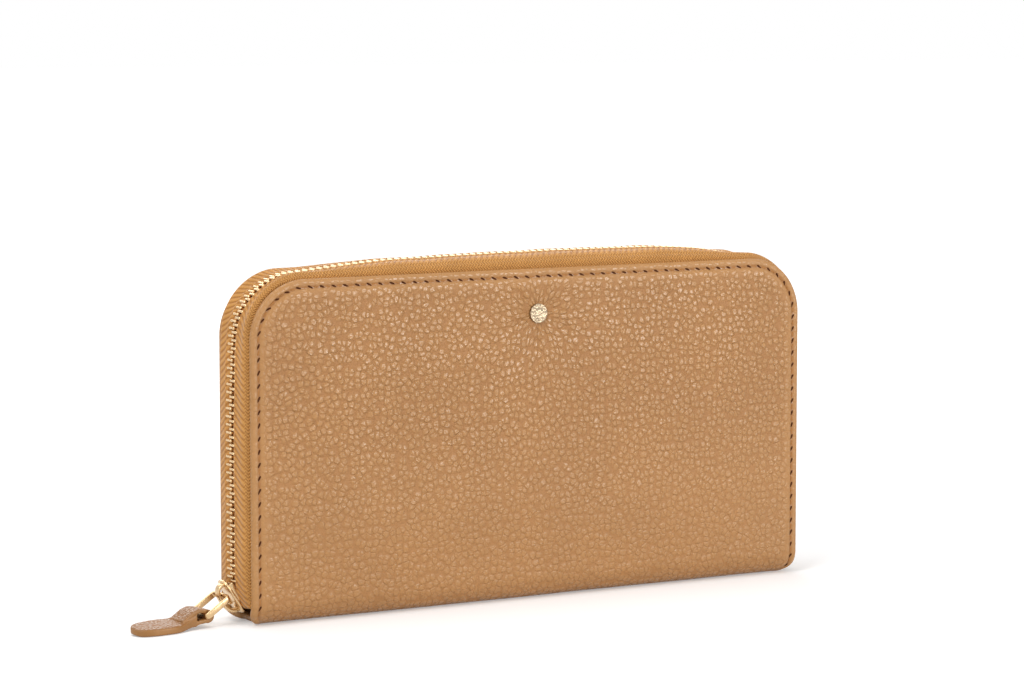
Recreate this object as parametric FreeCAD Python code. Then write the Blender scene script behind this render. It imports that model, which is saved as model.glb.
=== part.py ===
import FreeCAD, Part
import math
import os

from FreeCAD import Placement, Rotation, Vector

# Zip around wallet that stands on its folded spine. Units are millimetres.
# X runs along the wallet, the front cover faces -Y and Z is up.
# The origin is the centre of the spine, on the surface that the wallet stands on.
# Positions around the covers are given by the zip's line: n is the distance outward from it.

# Overall sizes
LENGTH = 195.0
HEIGHT = 103.0
DEPTH = 23.0
CORNER_RADIUS = 18.0
FOLD_RADIUS = 7.5
SPINE_END_RADIUS = 4.0

# Layers of a cover, from the outside in
LEATHER = 1.1
BOARD = 0.9
TAPE = 0.5
LINING = 0.5
CARD_SHEET = 0.35
TURNED_EDGE = 3.0
LINING_INSET = 1.0
LAYER_CLEARANCE = 0.3
EDGE_ROUND = 0.7

# Zip
TAPE_MARGIN = 10.0
TAPE_TOP_RISE = 1.8
SHOULDER_RADIUS = 2.7
SHOULDER_START = -0.5
TAPE_EDGE = 2.0
LOWER_BEND_RADIUS = 30.0
LOWER_BEND_TURN = 20.0
LOWER_BEND_HEIGHT = 16.0
TOOTH_PITCH = 2.4
TOOTH_CLEARANCE = 0.1
TOOTH_THICKNESS = 2.0
TOOTH_JAW = 1.0
TOOTH_REACH = 0.6
TOOTH_BEVEL = 0.4
GRIP_CLEARANCE = 0.06
STOP_WIDTH = 1.6
STOP_REACH = 0.3
BOTTOM_STOP_WIDTH = 2.6

# Slider and pull
SLIDER_TILT = 12.0
SLIDER_OFFSET = 0.3
SLIDER_GAP = 3.6
SLIDER_PLATE = 0.9
SLIDER_LENGTH = 10.4
SLIDER_WIDE = 8.2
SLIDER_NARROW = 6.2
SLIDER_POST_RADIUS = 1.0
SLIDER_POST_INSET = 1.8
BAIL_RADIUS = 3.2
BAIL_WIRE_RADIUS = 0.8
RING_WIDTH = 10.4
RING_BAR = 1.1
RING_REACH = 8.0
RING_CLEARANCE = 0.2
RING_CORNER_RADIUS = 0.9
PULL_YAW = 4.0
TAB_HINGE_HEIGHT = 4.0
TAB_LENGTH = 22.0
TAB_THICKNESS = 2.4
TAB_WIDTH = 10.6
TAB_TIP_WIDTH = 7.0
TAB_TIP_RADIUS = 3.2
TAB_LOOP_WALL = 1.2
TAB_NECK_LENGTH = 7.0

# Stud
STUD_RADIUS = 3.0
STUD_HEIGHT = 1.0
STUD_BELOW_TOP = 13.8
POST_RADIUS = 1.0
POST_CLEARANCE = 0.1
BACKPLATE_RADIUS = 2.4

# Edge stitching
STITCH_INSET = 2.4
STITCH_PITCH = 3.9
STITCH_GAP = 1.0
STITCH_WIDTH = 0.6
STITCH_HEIGHT = 0.3

# Inside: card pockets, coin purse, gussets
CARD_DROPS = [17.0, 27.0, 37.0, 47.0]
CARD_END_GAP = 19.5
PURSE_HALF_GAP = 2.2
PURSE_WALL = 0.5
PURSE_END_GAP = 17.5
PURSE_DROP = 21.0
PURSE_BASE = 0.6
GUSSET_SHEET = 0.4
GUSSET_FOLD_REACH = 10.0
GUSSET_FLANGE = 5.0
GUSSET_DROP = 33.0

# Coin zip
COIN_CHAIN_RISE = 2.2
COIN_TAPE = 0.4
COIN_TAPE_DEPTH = 8.0
COIN_TAPE_EDGE = 0.9
COIN_TAPE_END_GAP = 1.0
COIN_TOOTH_PITCH = 2.0
COIN_TOOTH_CLEARANCE = 0.1
COIN_TOOTH_THICKNESS = 1.6
COIN_TOOTH_JAW = 0.45
COIN_TOOTH_REACH = 0.35
COIN_SLIDER_GAP = 2.0
COIN_SLIDER_PLATE = 0.7
COIN_SLIDER_LENGTH = 7.5
COIN_SLIDER_WIDTH = 4.4
COIN_SLIDER_INNER_WIDTH = 3.0
COIN_SLIDER_END_GAP = 2.2
COIN_POST_RADIUS = 0.5
COIN_BAIL_RADIUS = 1.5
COIN_BAIL_WIRE_RADIUS = 0.35
COIN_PULL_LENGTH = 12.0
COIN_PULL_WIDTH = 4.0
COIN_PULL_THICKNESS = 0.7
COIN_PULL_EYE = 2.0

# Derived sizes
HALF_LENGTH = LENGTH / 2
CARD_HALF_WIDTH = HALF_LENGTH - CARD_END_GAP
PURSE_HALF_LENGTH = HALF_LENGTH - PURSE_END_GAP
PURSE_HEIGHT = HEIGHT - PURSE_DROP
COIN_CHAIN_HEIGHT = PURSE_HEIGHT + COIN_CHAIN_RISE
TOOTH_WIDTH = TOOTH_PITCH / 2 - TOOTH_CLEARANCE
COIN_TOOTH_WIDTH = COIN_TOOTH_PITCH / 2 - COIN_TOOTH_CLEARANCE
STITCH_LENGTH = STITCH_PITCH - STITCH_GAP
HALF_DEPTH = DEPTH / 2
FLAT_HALF = HALF_DEPTH - FOLD_RADIUS
BOARD_FACE = HALF_DEPTH - LEATHER
TAPE_FACE = BOARD_FACE - BOARD
LINING_FACE = TAPE_FACE - TAPE
CARD_FACE = LINING_FACE - LINING
RIM_BACK = TAPE_FACE
TOOTH_LINE = SHOULDER_START + SHOULDER_RADIUS
MARGIN_SWING = (LOWER_BEND_RADIUS - TAPE_MARGIN) * (1 - math.cos(math.radians(LOWER_BEND_TURN)))
MARGIN_INSET = TAPE_MARGIN + MARGIN_SWING + LAYER_CLEARANCE
SPINE_LINER_HALF = HALF_LENGTH - MARGIN_INSET
SPINE_LAYERS = LEATHER + BOARD + LINING

Y_AXIS = Vector(0, 1, 0)
Z_AXIS = Vector(0, 0, 1)


def export(name, shape):
    shape.exportStep("parts/%s.step" % name)


def mirrored(shape):
    """The same piece on the rear half."""
    return shape.mirror(Vector(0, 0, 0), Y_AXIS)


def flipped(shape):
    """The same piece at the right end."""
    return shape.mirror(Vector(0, 0, 0), Vector(1, 0, 0))


def fused(shapes):
    return shapes[0].multiFuse(shapes[1:]).removeSplitter()


def wire_of(steps):
    """A closed face in the XY plane; a step is a corner, or a point on an arc and its end."""
    points = [Vector(step[-1][0], step[-1][1], 0) for step in steps]
    edges = []
    for index, step in enumerate(steps):
        start = points[index - 1]
        end = points[index]
        if len(step) == 2:
            middle = Vector(step[0][0], step[0][1], 0)
            edges.append(Part.Arc(start, middle, end).toShape())
        else:
            edges.append(Part.LineSegment(start, end).toShape())
    return Part.Face(Part.Wire(edges))


def corner_arc(centre, radius, start_deg, end_deg):
    """The step that goes round a corner: the arc's middle and its end."""
    def at(degrees):
        angle = math.radians(degrees)
        return (centre[0] + radius * math.cos(angle), centre[1] + radius * math.sin(angle))
    return [at((start_deg + end_deg) / 2), at(end_deg)]


def placed(shape, origin, x_dir, y_dir):
    """A copy whose own X and Y axes lie along the two directions given."""
    copy = shape.copy()
    turn = Rotation(x_dir, y_dir, x_dir.cross(y_dir), "XYZ")
    copy.Placement = Placement(origin, turn) * shape.Placement
    return copy


def box(x_range, y_range, z_range):
    size = [high - low for low, high in (x_range, y_range, z_range)]
    return Part.makeBox(*size, Vector(x_range[0], y_range[0], z_range[0]))


# Covers

def cover_face(inset, bottom, rise=0.0):
    """Outline of a cover, in by inset, drawn in the XZ plane as X and Y."""
    half = HALF_LENGTH - inset
    top = HEIGHT + rise - inset
    radius = CORNER_RADIUS - inset
    return wire_of([
        [(-half, bottom)],
        [(-half, top - radius)],
        corner_arc((-half + radius, top - radius), radius, 180, 90),
        [(half - radius, top)],
        corner_arc((half - radius, top - radius), radius, 90, 0),
        [(half, bottom)],
    ])


def front_sheet(face, outer, inner):
    """An XZ outline as a front layer between two distances from the middle plane."""
    standing = placed(face, Vector(0, -inner, 0), Vector(1, 0, 0), Z_AXIS)
    return standing.extrude(Vector(0, inner - outer, 0))


def stud_hole(radius):
    centre = Vector(0, -DEPTH, HEIGHT - STUD_BELOW_TOP)
    return Part.makeCylinder(radius, DEPTH, centre, Y_AXIS)


def cover_leather():
    """Leather skin with its edge turned over the board, rounded on the outside."""
    blank = front_sheet(cover_face(0, FOLD_RADIUS), HALF_DEPTH, RIM_BACK)
    recess = front_sheet(cover_face(TURNED_EDGE, FOLD_RADIUS), BOARD_FACE, RIM_BACK)
    skin = blank.cut(recess)

    def is_outer(edge):
        ends = [vertex.Point for vertex in edge.Vertexes]
        on_face = all(abs(end.y + HALF_DEPTH) < 1e-6 for end in ends)
        at_fold = all(abs(end.z - FOLD_RADIUS) < 1e-6 for end in ends)
        return on_face and not at_fold
    return skin.makeFillet(EDGE_ROUND, [edge for edge in skin.Edges if is_outer(edge)])


def cover_board():
    return front_sheet(cover_face(TURNED_EDGE, FOLD_RADIUS), BOARD_FACE, TAPE_FACE)


def cover_interlining():
    """Fills the height of the tape where the tape's margin ends."""
    face = cover_face(MARGIN_INSET, FOLD_RADIUS, TAPE_TOP_RISE)
    return front_sheet(face, TAPE_FACE, LINING_FACE)


def cover_lining():
    return front_sheet(cover_face(LINING_INSET, FOLD_RADIUS), LINING_FACE, CARD_FACE)


def card_pocket(index):
    outer = CARD_FACE - index * CARD_SHEET
    top = HEIGHT - CARD_DROPS[index]
    face = wire_of([
        [(-CARD_HALF_WIDTH, FOLD_RADIUS)],
        [(-CARD_HALF_WIDTH, top)],
        [(CARD_HALF_WIDTH, top)],
        [(CARD_HALF_WIDTH, FOLD_RADIUS)],
    ])
    return front_sheet(face, outer, outer - CARD_SHEET)


def make_covers():
    hole = stud_hole(POST_RADIUS + POST_CLEARANCE)
    backplate_hole = stud_hole(BACKPLATE_RADIUS + POST_CLEARANCE)
    leather = cover_leather()
    board = cover_board()
    interlining = cover_interlining()
    lining = cover_lining()
    export("front_cover_leather", leather.cut(hole))
    export("rear_cover_leather", mirrored(leather))
    export("front_board", board.cut(hole))
    export("rear_board", mirrored(board))
    export("front_interlining", interlining.cut(backplate_hole))
    export("rear_interlining", mirrored(interlining))
    export("front_lining", lining)
    export("rear_lining", mirrored(lining))
    for index in range(len(CARD_DROPS)):
        pocket = card_pocket(index)
        export("front_card_pocket_%d" % (index + 1), pocket)
        export("rear_card_pocket_%d" % (index + 1), mirrored(pocket))


# Spine

def fold_sheet(skipped, thickness, half_length):
    """A layer of the spine's U, at a depth of skipped under the leather's face."""
    half = HALF_DEPTH - skipped
    outer = FOLD_RADIUS - skipped
    inner = outer - thickness
    corner = FOLD_RADIUS
    face = wire_of([
        [(-half, corner)],
        corner_arc((-FLAT_HALF, corner), outer, 180, 270),
        [(FLAT_HALF, corner - outer)],
        corner_arc((FLAT_HALF, corner), outer, 270, 360),
        [(half - thickness, corner)],
        corner_arc((FLAT_HALF, corner), inner, 360, 270),
        [(-FLAT_HALF, corner - inner)],
        corner_arc((-FLAT_HALF, corner), inner, 270, 180),
    ])
    standing = placed(face, Vector(-half_length, 0, 0), Y_AXIS, Z_AXIS)
    return standing.extrude(Vector(2 * half_length, 0, 0))


def spine_outline():
    """Long view of the spine, narrowed by a radius at both ends."""
    radius = SPINE_END_RADIUS
    face = wire_of([
        [(-HALF_LENGTH, FOLD_RADIUS)],
        [(-HALF_LENGTH, radius)],
        corner_arc((-HALF_LENGTH + radius, radius), radius, 180, 270),
        [(HALF_LENGTH - radius, 0)],
        corner_arc((HALF_LENGTH - radius, radius), radius, 270, 360),
        [(HALF_LENGTH, FOLD_RADIUS)],
    ])
    standing = placed(face, Vector(0, HALF_DEPTH, 0), Vector(1, 0, 0), Z_AXIS)
    return standing.extrude(Vector(0, -DEPTH, 0))


def make_spine():
    export("spine_leather", fold_sheet(0, LEATHER, HALF_LENGTH).common(spine_outline()))
    export("spine_stiffener", fold_sheet(LEATHER, BOARD, SPINE_LINER_HALF))
    export("spine_lining", fold_sheet(LEATHER + BOARD, LINING, SPINE_LINER_HALF))


# Zip line: up the left side, across the top and down the right side

def zip_legs():
    """Each leg is its start, outward normal, length along the teeth, radius and turn."""
    lower = LOWER_BEND_RADIUS
    turn = math.radians(LOWER_BEND_TURN)
    side = HEIGHT + TAPE_TOP_RISE - CORNER_RADIUS - LOWER_BEND_HEIGHT
    normal = Vector(-math.cos(turn), 0, -math.sin(turn))
    centre = Vector(lower - HALF_LENGTH, 0, LOWER_BEND_HEIGHT)
    plan = [
        ("lower_left", lower, LOWER_BEND_TURN, 0),
        ("left", 0, 0, side),
        ("upper_left", CORNER_RADIUS, 90, 0),
        ("top", 0, 0, LENGTH - 2 * CORNER_RADIUS),
        ("upper_right", CORNER_RADIUS, 90, 0),
        ("right", 0, 0, side),
        ("lower_right", lower, LOWER_BEND_TURN, 0),
    ]
    start = centre + normal * lower
    legs = []
    for name, radius, degrees, run in plan:
        length = run if run else (radius + TOOTH_LINE) * math.radians(degrees)
        legs.append((name, start, normal, length, radius, degrees))
        if run:
            start = start + Y_AXIS.cross(normal) * run
        else:
            pivot = start - normal * radius
            normal = Rotation(Y_AXIS, degrees).multVec(normal)
            start = pivot + normal * radius
    return legs


def station(leg, distance):
    """Point on the zip's line and outward normal, at a distance along the teeth."""
    name, start, normal, length, radius, degrees = leg
    if radius:
        turned = Rotation(Y_AXIS, degrees * distance / length).multVec(normal)
        return start - normal * radius + turned * radius, turned
    return start + Y_AXIS.cross(normal) * distance, normal


def swept(face, leg):
    """An (n, y) section carried along one leg."""
    name, start, normal, length, radius, degrees = leg
    section = placed(face, start, normal, Y_AXIS)
    if radius:
        return section.revolve(start - normal * radius, Y_AXIS, degrees)
    return section.extrude(Y_AXIS.cross(normal) * length)


def tape_section():
    """Margin behind the rim, a rounded shoulder, and the flat that the teeth grip."""
    outer = SHOULDER_RADIUS + TAPE / 2
    inner = SHOULDER_RADIUS - TAPE / 2
    middle = (TAPE_FACE + LINING_FACE) / 2 - SHOULDER_RADIUS
    centre = (SHOULDER_START, -middle)
    crest = TOOTH_LINE + TAPE / 2
    return wire_of([
        [(-TAPE_MARGIN, -TAPE_FACE)],
        [(SHOULDER_START, -TAPE_FACE)],
        corner_arc(centre, outer, 270, 360),
        [(crest, -TAPE_EDGE)],
        [(crest - TAPE, -TAPE_EDGE)],
        [(SHOULDER_START + inner, -middle)],
        corner_arc(centre, inner, 360, 270),
        [(-TAPE_MARGIN, -LINING_FACE)],
    ])


def gripping_solid(reach, width):
    """Metal jaws on the edge of the tape with a head that reaches past the middle."""
    half = TOOTH_THICKNESS / 2
    slot = TAPE / 2 + GRIP_CLEARANCE
    back = -TAPE_EDGE - TOOTH_JAW
    face = wire_of([
        [(-half, back)],
        [(-slot, back)],
        [(-slot, -TAPE_EDGE)],
        [(slot, -TAPE_EDGE)],
        [(slot, back)],
        [(half, back)],
        [(half, reach - TOOTH_BEVEL)],
        [(half - TOOTH_BEVEL, reach)],
        [(TOOTH_BEVEL - half, reach)],
        [(-half, reach - TOOTH_BEVEL)],
    ])
    return face.extrude(Vector(0, 0, width)).translated(Vector(0, 0, -width / 2))


def along_teeth(solid, legs, first, pitch, last=None):
    """Copies of a solid along the teeth, from the distance first to the distance last."""
    copies = []
    start = 0
    total = sum(leg[3] for leg in legs)
    end = total if last is None else last
    for leg in legs:
        count = math.ceil((start - first) / pitch)
        distance = first + max(count, 0) * pitch
        while distance < min(start + leg[3], end):
            point, normal = station(leg, distance - start)
            copies.append(placed(solid, point + normal * TOOTH_LINE, normal, Y_AXIS))
            distance += pitch
        start += leg[3]
    return copies


def make_zip(legs):
    tape = fused([swept(tape_section(), leg) for leg in legs])
    export("front_zip_tape", tape)
    export("rear_zip_tape", mirrored(tape))

    tooth = gripping_solid(TOOTH_REACH, TOOTH_WIDTH)
    rear_tooth = mirrored(tooth)
    total = sum(leg[3] for leg in legs)
    left_end = sum(leg[3] for leg in legs[:2])
    first = slider_distance(legs) + TOOTH_PITCH / 2
    last = total - BOTTOM_STOP_WIDTH - TOOTH_PITCH
    left_count = int((left_end - first) / TOOTH_PITCH) + 1
    split = first + left_count * TOOTH_PITCH
    half_pitch = TOOTH_PITCH / 2
    rows = [("front", tooth, first), ("rear", rear_tooth, first + half_pitch)]
    for side, solid, begin in rows:
        left = along_teeth(solid, legs, begin, TOOTH_PITCH, split)
        export("%s_zip_teeth_left" % side, Part.makeCompound(left))
        other = along_teeth(solid, legs, split + begin - first, TOOTH_PITCH, last)
        export("%s_zip_teeth" % side, Part.makeCompound(other))

    stop = gripping_solid(-STOP_REACH - SLIDER_POST_RADIUS, STOP_WIDTH)
    bend = legs[0]
    point, normal = station(bend, STOP_WIDTH)
    seat = point + normal * TOOTH_LINE
    front_stop = placed(stop, seat, normal, Y_AXIS)
    export("front_zip_stop", front_stop)
    export("rear_zip_stop", mirrored(front_stop))
    end_stop = gripping_solid(TAPE_EDGE - STOP_REACH, BOTTOM_STOP_WIDTH)
    point, normal = station(legs[-1], legs[-1][3] - BOTTOM_STOP_WIDTH)
    seated = placed(end_stop, point + normal * TOOTH_LINE, normal, Y_AXIS)
    export("zip_bottom_stop", mirrored(seated))


# Slider, bail, ring and leather tab

def slider_distance(legs):
    """Distance along the teeth of the slider's middle, where the bend has the slider's tilt."""
    return legs[0][3] * (1 - SLIDER_TILT / LOWER_BEND_TURN)


def slider_frame(legs):
    """Middle of the slider, its outward direction and its upward direction."""
    point, normal = station(legs[0], slider_distance(legs))
    middle = point + normal * (TOOTH_LINE + SLIDER_OFFSET)
    return middle, normal, Y_AXIS.cross(normal)


def slider_plate_face(wide, narrow):
    """Shield outline: X across the chain, Y along it towards the narrow end."""
    half = SLIDER_LENGTH / 2
    shoulder = 0.6 * half
    return wire_of([
        [(-narrow / 2, shoulder)],
        [(0, half), (narrow / 2, shoulder)],
        [(wide / 2, -shoulder)],
        [(0, -half), (-wide / 2, -shoulder)],
    ])


def in_slider(shape, legs):
    """Places a shape drawn with X outward, Y across and Z along the slider."""
    middle, normal, upward = slider_frame(legs)
    return placed(shape, middle, normal, upward.cross(normal))


def slider_plate(start):
    """One plate, from a height of start over the middle of the chain."""
    face = slider_plate_face(SLIDER_WIDE, SLIDER_NARROW)
    turned = placed(face, Vector(start, 0, 0), Y_AXIS, Z_AXIS)
    return turned.extrude(Vector(SLIDER_PLATE, 0, 0))


def half_ring(radius, wire_radius, base):
    """Half of a ring of round wire that stands on a plate: X is up from the plate."""
    circle = Part.makeCircle(wire_radius, Vector(base, 0, radius), Vector(1, 0, 0))
    face = Part.Face(Part.Wire([circle]))
    return face.revolve(Vector(base, 0, 0), Y_AXIS, 180)


def bail_seat():
    return SLIDER_GAP / 2 + SLIDER_PLATE


def ring_pivot_height():
    """The ring's bar hangs in the crown of the bail, free to turn."""
    half_diagonal = RING_BAR / math.sqrt(2)
    return bail_seat() + BAIL_RADIUS - BAIL_WIRE_RADIUS - half_diagonal - RING_CLEARANCE


def make_slider(legs):
    post_height = -SLIDER_LENGTH / 2 + SLIDER_POST_INSET
    post_start = Vector(-SLIDER_GAP / 2, 0, post_height)
    post = Part.makeCylinder(SLIDER_POST_RADIUS, SLIDER_GAP, post_start, Vector(1, 0, 0))
    inner = slider_plate(-SLIDER_GAP / 2 - SLIDER_PLATE)
    outer = slider_plate(SLIDER_GAP / 2)
    export("slider_body", in_slider(fused([outer, post, inner]), legs))
    bail = half_ring(BAIL_RADIUS, BAIL_WIRE_RADIUS, bail_seat())
    export("slider_bail", in_slider(bail, legs))


def pull_directions(legs):
    """Ring pivot, tab pivot, the pull's run along the floor and its axis."""
    middle, normal, upward = slider_frame(legs)
    pivot = middle + normal * ring_pivot_height()
    drop = pivot.z - TAB_HINGE_HEIGHT
    run = Rotation(Z_AXIS, PULL_YAW).multVec(Vector(-1, 0, 0))
    level = math.sqrt(RING_REACH ** 2 - drop ** 2)
    tab_pivot = pivot + run * level - Z_AXIS * drop
    return pivot, tab_pivot, run, Z_AXIS.cross(run)


def rounded_rectangle(length, width, radius):
    half_l = length / 2
    half_w = width / 2
    return wire_of([
        [(-half_l, half_w - radius)],
        corner_arc((radius - half_l, half_w - radius), radius, 180, 90),
        [(half_l - radius, half_w)],
        corner_arc((half_l - radius, half_w - radius), radius, 90, 0),
        [(half_l, radius - half_w)],
        corner_arc((half_l - radius, radius - half_w), radius, 0, -90),
        [(radius - half_l, -half_w)],
        corner_arc((radius - half_l, radius - half_w), radius, -90, -180),
    ])


def ring_hole_corner():
    return RING_CORNER_RADIUS - RING_BAR / 2


def tab_neck_half_width():
    """The tab's loop fits between the rounded corners of the ring's hole."""
    return RING_WIDTH / 2 - RING_BAR - ring_hole_corner() - RING_CLEARANCE


def make_ring(legs):
    pivot, tab_pivot, run, axis = pull_directions(legs)
    outer = rounded_rectangle(RING_REACH + RING_BAR, RING_WIDTH, RING_CORNER_RADIUS)
    hole_width = RING_WIDTH - 2 * RING_BAR
    hole = rounded_rectangle(RING_REACH - RING_BAR, hole_width, ring_hole_corner())
    flat = outer.cut(hole).extrude(Vector(0, 0, RING_BAR))
    flat.translate(Vector(0, 0, -RING_BAR / 2))
    slope = (tab_pivot - pivot).normalize()
    export("pull_ring", placed(flat, (pivot + tab_pivot) / 2, slope, axis))


def tab_plan():
    """The tab from above: X from the tab's pivot to its tip, Y across."""
    half = TAB_WIDTH / 2
    neck = tab_neck_half_width()
    tip = TAB_TIP_WIDTH / 2
    widest = 0.6 * TAB_LENGTH
    return wire_of([
        [(TAB_NECK_LENGTH / 2, neck)],
        [(TAB_NECK_LENGTH, neck)],
        [((TAB_NECK_LENGTH + widest) / 2, 0.35 * neck + 0.65 * half), (widest, half)],
        [(TAB_LENGTH - TAB_TIP_RADIUS, tip)],
        [(TAB_LENGTH, 0), (TAB_LENGTH - TAB_TIP_RADIUS, -tip)],
        [(widest, -half)],
        [((TAB_NECK_LENGTH + widest) / 2, -0.35 * neck - 0.65 * half), (TAB_NECK_LENGTH, -neck)],
        [(TAB_NECK_LENGTH / 2, -neck)],
    ])


def make_tab(legs):
    pivot, tab_pivot, run, axis = pull_directions(legs)
    bore = RING_BAR / math.sqrt(2) + RING_CLEARANCE
    loop = bore + TAB_LOOP_WALL
    neck = tab_neck_half_width()
    floor = -TAB_HINGE_HEIGHT
    side = wire_of([
        [(0, -loop)],
        [(-loop, 0), (0, loop)],
        [(TAB_NECK_LENGTH, floor + TAB_THICKNESS)],
        [(TAB_NECK_LENGTH, floor)],
        [(TAB_NECK_LENGTH - TAB_LOOP_WALL, floor)],
    ])
    swept_side = placed(side, Vector(0, neck, 0), Vector(1, 0, 0), Z_AXIS)
    neck_solid = swept_side.extrude(Vector(0, -2 * neck, 0))
    flat = tab_plan().extrude(Vector(0, 0, TAB_THICKNESS))
    flat.translate(Vector(0, 0, floor))
    before_neck = box((-loop, TAB_NECK_LENGTH), (-neck, neck), (floor, loop))
    flat = flat.cut(before_neck)
    hole = Part.makeCylinder(bore, 2 * TAB_WIDTH, Vector(0, -TAB_WIDTH, 0), Y_AXIS)
    tab = fused([neck_solid, flat]).cut(hole)
    export("pull_tab", placed(tab, tab_pivot, run, axis))


# Stud

def make_stud():
    height = HEIGHT - STUD_BELOW_TOP
    face_y = -HALF_DEPTH
    dome_radius = (STUD_RADIUS ** 2 + STUD_HEIGHT ** 2) / (2 * STUD_HEIGHT)
    centre = Vector(0, face_y - STUD_HEIGHT + dome_radius, height)
    slab = box((-STUD_RADIUS, STUD_RADIUS), (face_y - STUD_HEIGHT, face_y),
               (height - STUD_RADIUS, height + STUD_RADIUS))
    dome = Part.makeSphere(dome_radius, centre).common(slab)
    post_length = HALF_DEPTH - LINING_FACE
    post = Part.makeCylinder(POST_RADIUS, post_length, Vector(0, face_y, height), Y_AXIS)
    export("stud_cap", fused([dome, post]))
    seat = Vector(0, -TAPE_FACE, height)
    plate = Part.makeCylinder(BACKPLATE_RADIUS, TAPE, seat, Y_AXIS)
    hole = stud_hole(POST_RADIUS + POST_CLEARANCE)
    export("stud_backplate", plate.cut(hole))


# Edge stitching

def make_stitching():
    """Stitches lie along the turned edge, each a low bar with rounded ends."""
    radius = STITCH_WIDTH / 2
    straight = STITCH_LENGTH - STITCH_WIDTH
    plan = rounded_rectangle(STITCH_LENGTH, STITCH_WIDTH, radius * 0.98)
    stitch = plan.extrude(Vector(0, 0, STITCH_HEIGHT))
    corner = CORNER_RADIUS - STITCH_INSET
    side = HEIGHT - CORNER_RADIUS - FOLD_RADIUS
    arc = corner * math.pi / 2
    top = LENGTH - 2 * CORNER_RADIUS
    total = 2 * side + 2 * arc + top
    count = int((total - straight) / STITCH_PITCH)
    first = (total - (count - 1) * STITCH_PITCH) / 2
    edge = HALF_LENGTH - STITCH_INSET
    stitches = []
    for index in range(count):
        distance = first + index * STITCH_PITCH
        point, along = stitch_station(distance, side, arc, top, corner, edge)
        stitches.append(placed(stitch, point, along, along.cross(Y_AXIS)))
    row = Part.makeCompound(stitches)
    export("front_edge_stitching", row)
    export("rear_edge_stitching", mirrored(row))


def stitch_station(distance, side, arc, top, corner, edge):
    """Point and direction on the stitch line, from the fold up the left side."""
    y = -HALF_DEPTH
    if distance > side + arc + top / 2:
        total = 2 * side + 2 * arc + top
        point, along = stitch_station(total - distance, side, arc, top, corner, edge)
        return Vector(-point.x, point.y, point.z), Vector(along.x, 0, -along.z)
    if distance < side:
        return Vector(-edge, y, FOLD_RADIUS + distance), Vector(0, 0, 1)
    if distance < side + arc:
        angle = (distance - side) / corner
        direction = Vector(math.sin(angle), 0, math.cos(angle))
        x = -edge + corner * (1 - math.cos(angle))
        z = FOLD_RADIUS + side + corner * math.sin(angle)
        return Vector(x, y, z), direction
    x = -edge + corner + distance - side - arc
    return Vector(x, y, HEIGHT - STITCH_INSET), Vector(1, 0, 0)


# Coin purse, its zip and the gussets

def spine_floor(reach):
    """Height of the spine lining's inner face at a distance from the middle plane."""
    inner = FOLD_RADIUS - SPINE_LAYERS
    past_flat = max(reach - FLAT_HALF, 0)
    return FOLD_RADIUS - math.sqrt(inner ** 2 - past_flat ** 2)


def make_purse():
    inner = PURSE_HALF_GAP
    outer = inner + PURSE_WALL
    floor = spine_floor(outer)
    wall = box((-PURSE_HALF_LENGTH, PURSE_HALF_LENGTH), (-outer, -inner),
               (floor, PURSE_HEIGHT))
    export("purse_front_wall", wall)
    export("purse_rear_wall", mirrored(wall))
    base_top = floor + PURSE_BASE
    export("purse_base", box((-PURSE_HALF_LENGTH, PURSE_HALF_LENGTH), (-inner, inner),
                             (floor, base_top)))
    end = box((-PURSE_HALF_LENGTH, PURSE_WALL - PURSE_HALF_LENGTH), (-inner, inner),
              (base_top, PURSE_HEIGHT - COIN_TAPE_DEPTH))
    export("purse_end_left", end)
    export("purse_end_right", flipped(end))


def coin_tape():
    """Strip inside the purse wall that turns in over the opening."""
    inner = PURSE_HALF_GAP
    top = COIN_CHAIN_HEIGHT + COIN_TAPE / 2
    face = wire_of([
        [(-inner, top - COIN_TAPE_DEPTH)],
        [(-inner, top)],
        [(-COIN_TAPE_EDGE, top)],
        [(-COIN_TAPE_EDGE, top - COIN_TAPE)],
        [(COIN_TAPE - inner, top - COIN_TAPE)],
        [(COIN_TAPE - inner, top - COIN_TAPE_DEPTH)],
    ])
    half = PURSE_HALF_LENGTH - COIN_TAPE_END_GAP
    standing = placed(face, Vector(-half, 0, 0), Y_AXIS, Z_AXIS)
    return standing.extrude(Vector(2 * half, 0, 0))


def coin_tooth():
    """Section across the coin zip, extruded along X by the tooth's width."""
    half = COIN_TOOTH_THICKNESS / 2
    slot = COIN_TAPE / 2
    back = -COIN_TAPE_EDGE - COIN_TOOTH_JAW
    face = wire_of([
        [(back, -half)],
        [(back, -slot)],
        [(-COIN_TAPE_EDGE, -slot)],
        [(-COIN_TAPE_EDGE, slot)],
        [(back, slot)],
        [(back, half)],
        [(COIN_TOOTH_REACH, half)],
        [(COIN_TOOTH_REACH, -half)],
    ])
    standing = placed(face, Vector(-COIN_TOOTH_WIDTH / 2, 0, COIN_CHAIN_HEIGHT), Y_AXIS, Z_AXIS)
    return standing.extrude(Vector(COIN_TOOTH_WIDTH, 0, 0))


def coin_slider_middle():
    return COIN_TAPE_END_GAP + COIN_SLIDER_END_GAP + COIN_SLIDER_LENGTH / 2 - PURSE_HALF_LENGTH


def make_coin_zip():
    tape = coin_tape()
    export("coin_front_tape", tape)
    export("coin_rear_tape", mirrored(tape))
    tooth = coin_tooth()
    first = coin_slider_middle()
    last = PURSE_HALF_LENGTH - COIN_SLIDER_LENGTH / 2
    count = int((last - first) / COIN_TOOTH_PITCH)
    places = [first + index * COIN_TOOTH_PITCH for index in range(count)]
    front = [tooth.translated(Vector(x, 0, 0)) for x in places]
    half_pitch = Vector(COIN_TOOTH_PITCH / 2, 0, 0)
    export("coin_front_teeth", Part.makeCompound(front))
    rear = [mirrored(single).translated(half_pitch) for single in front]
    export("coin_rear_teeth", Part.makeCompound(rear))


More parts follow.
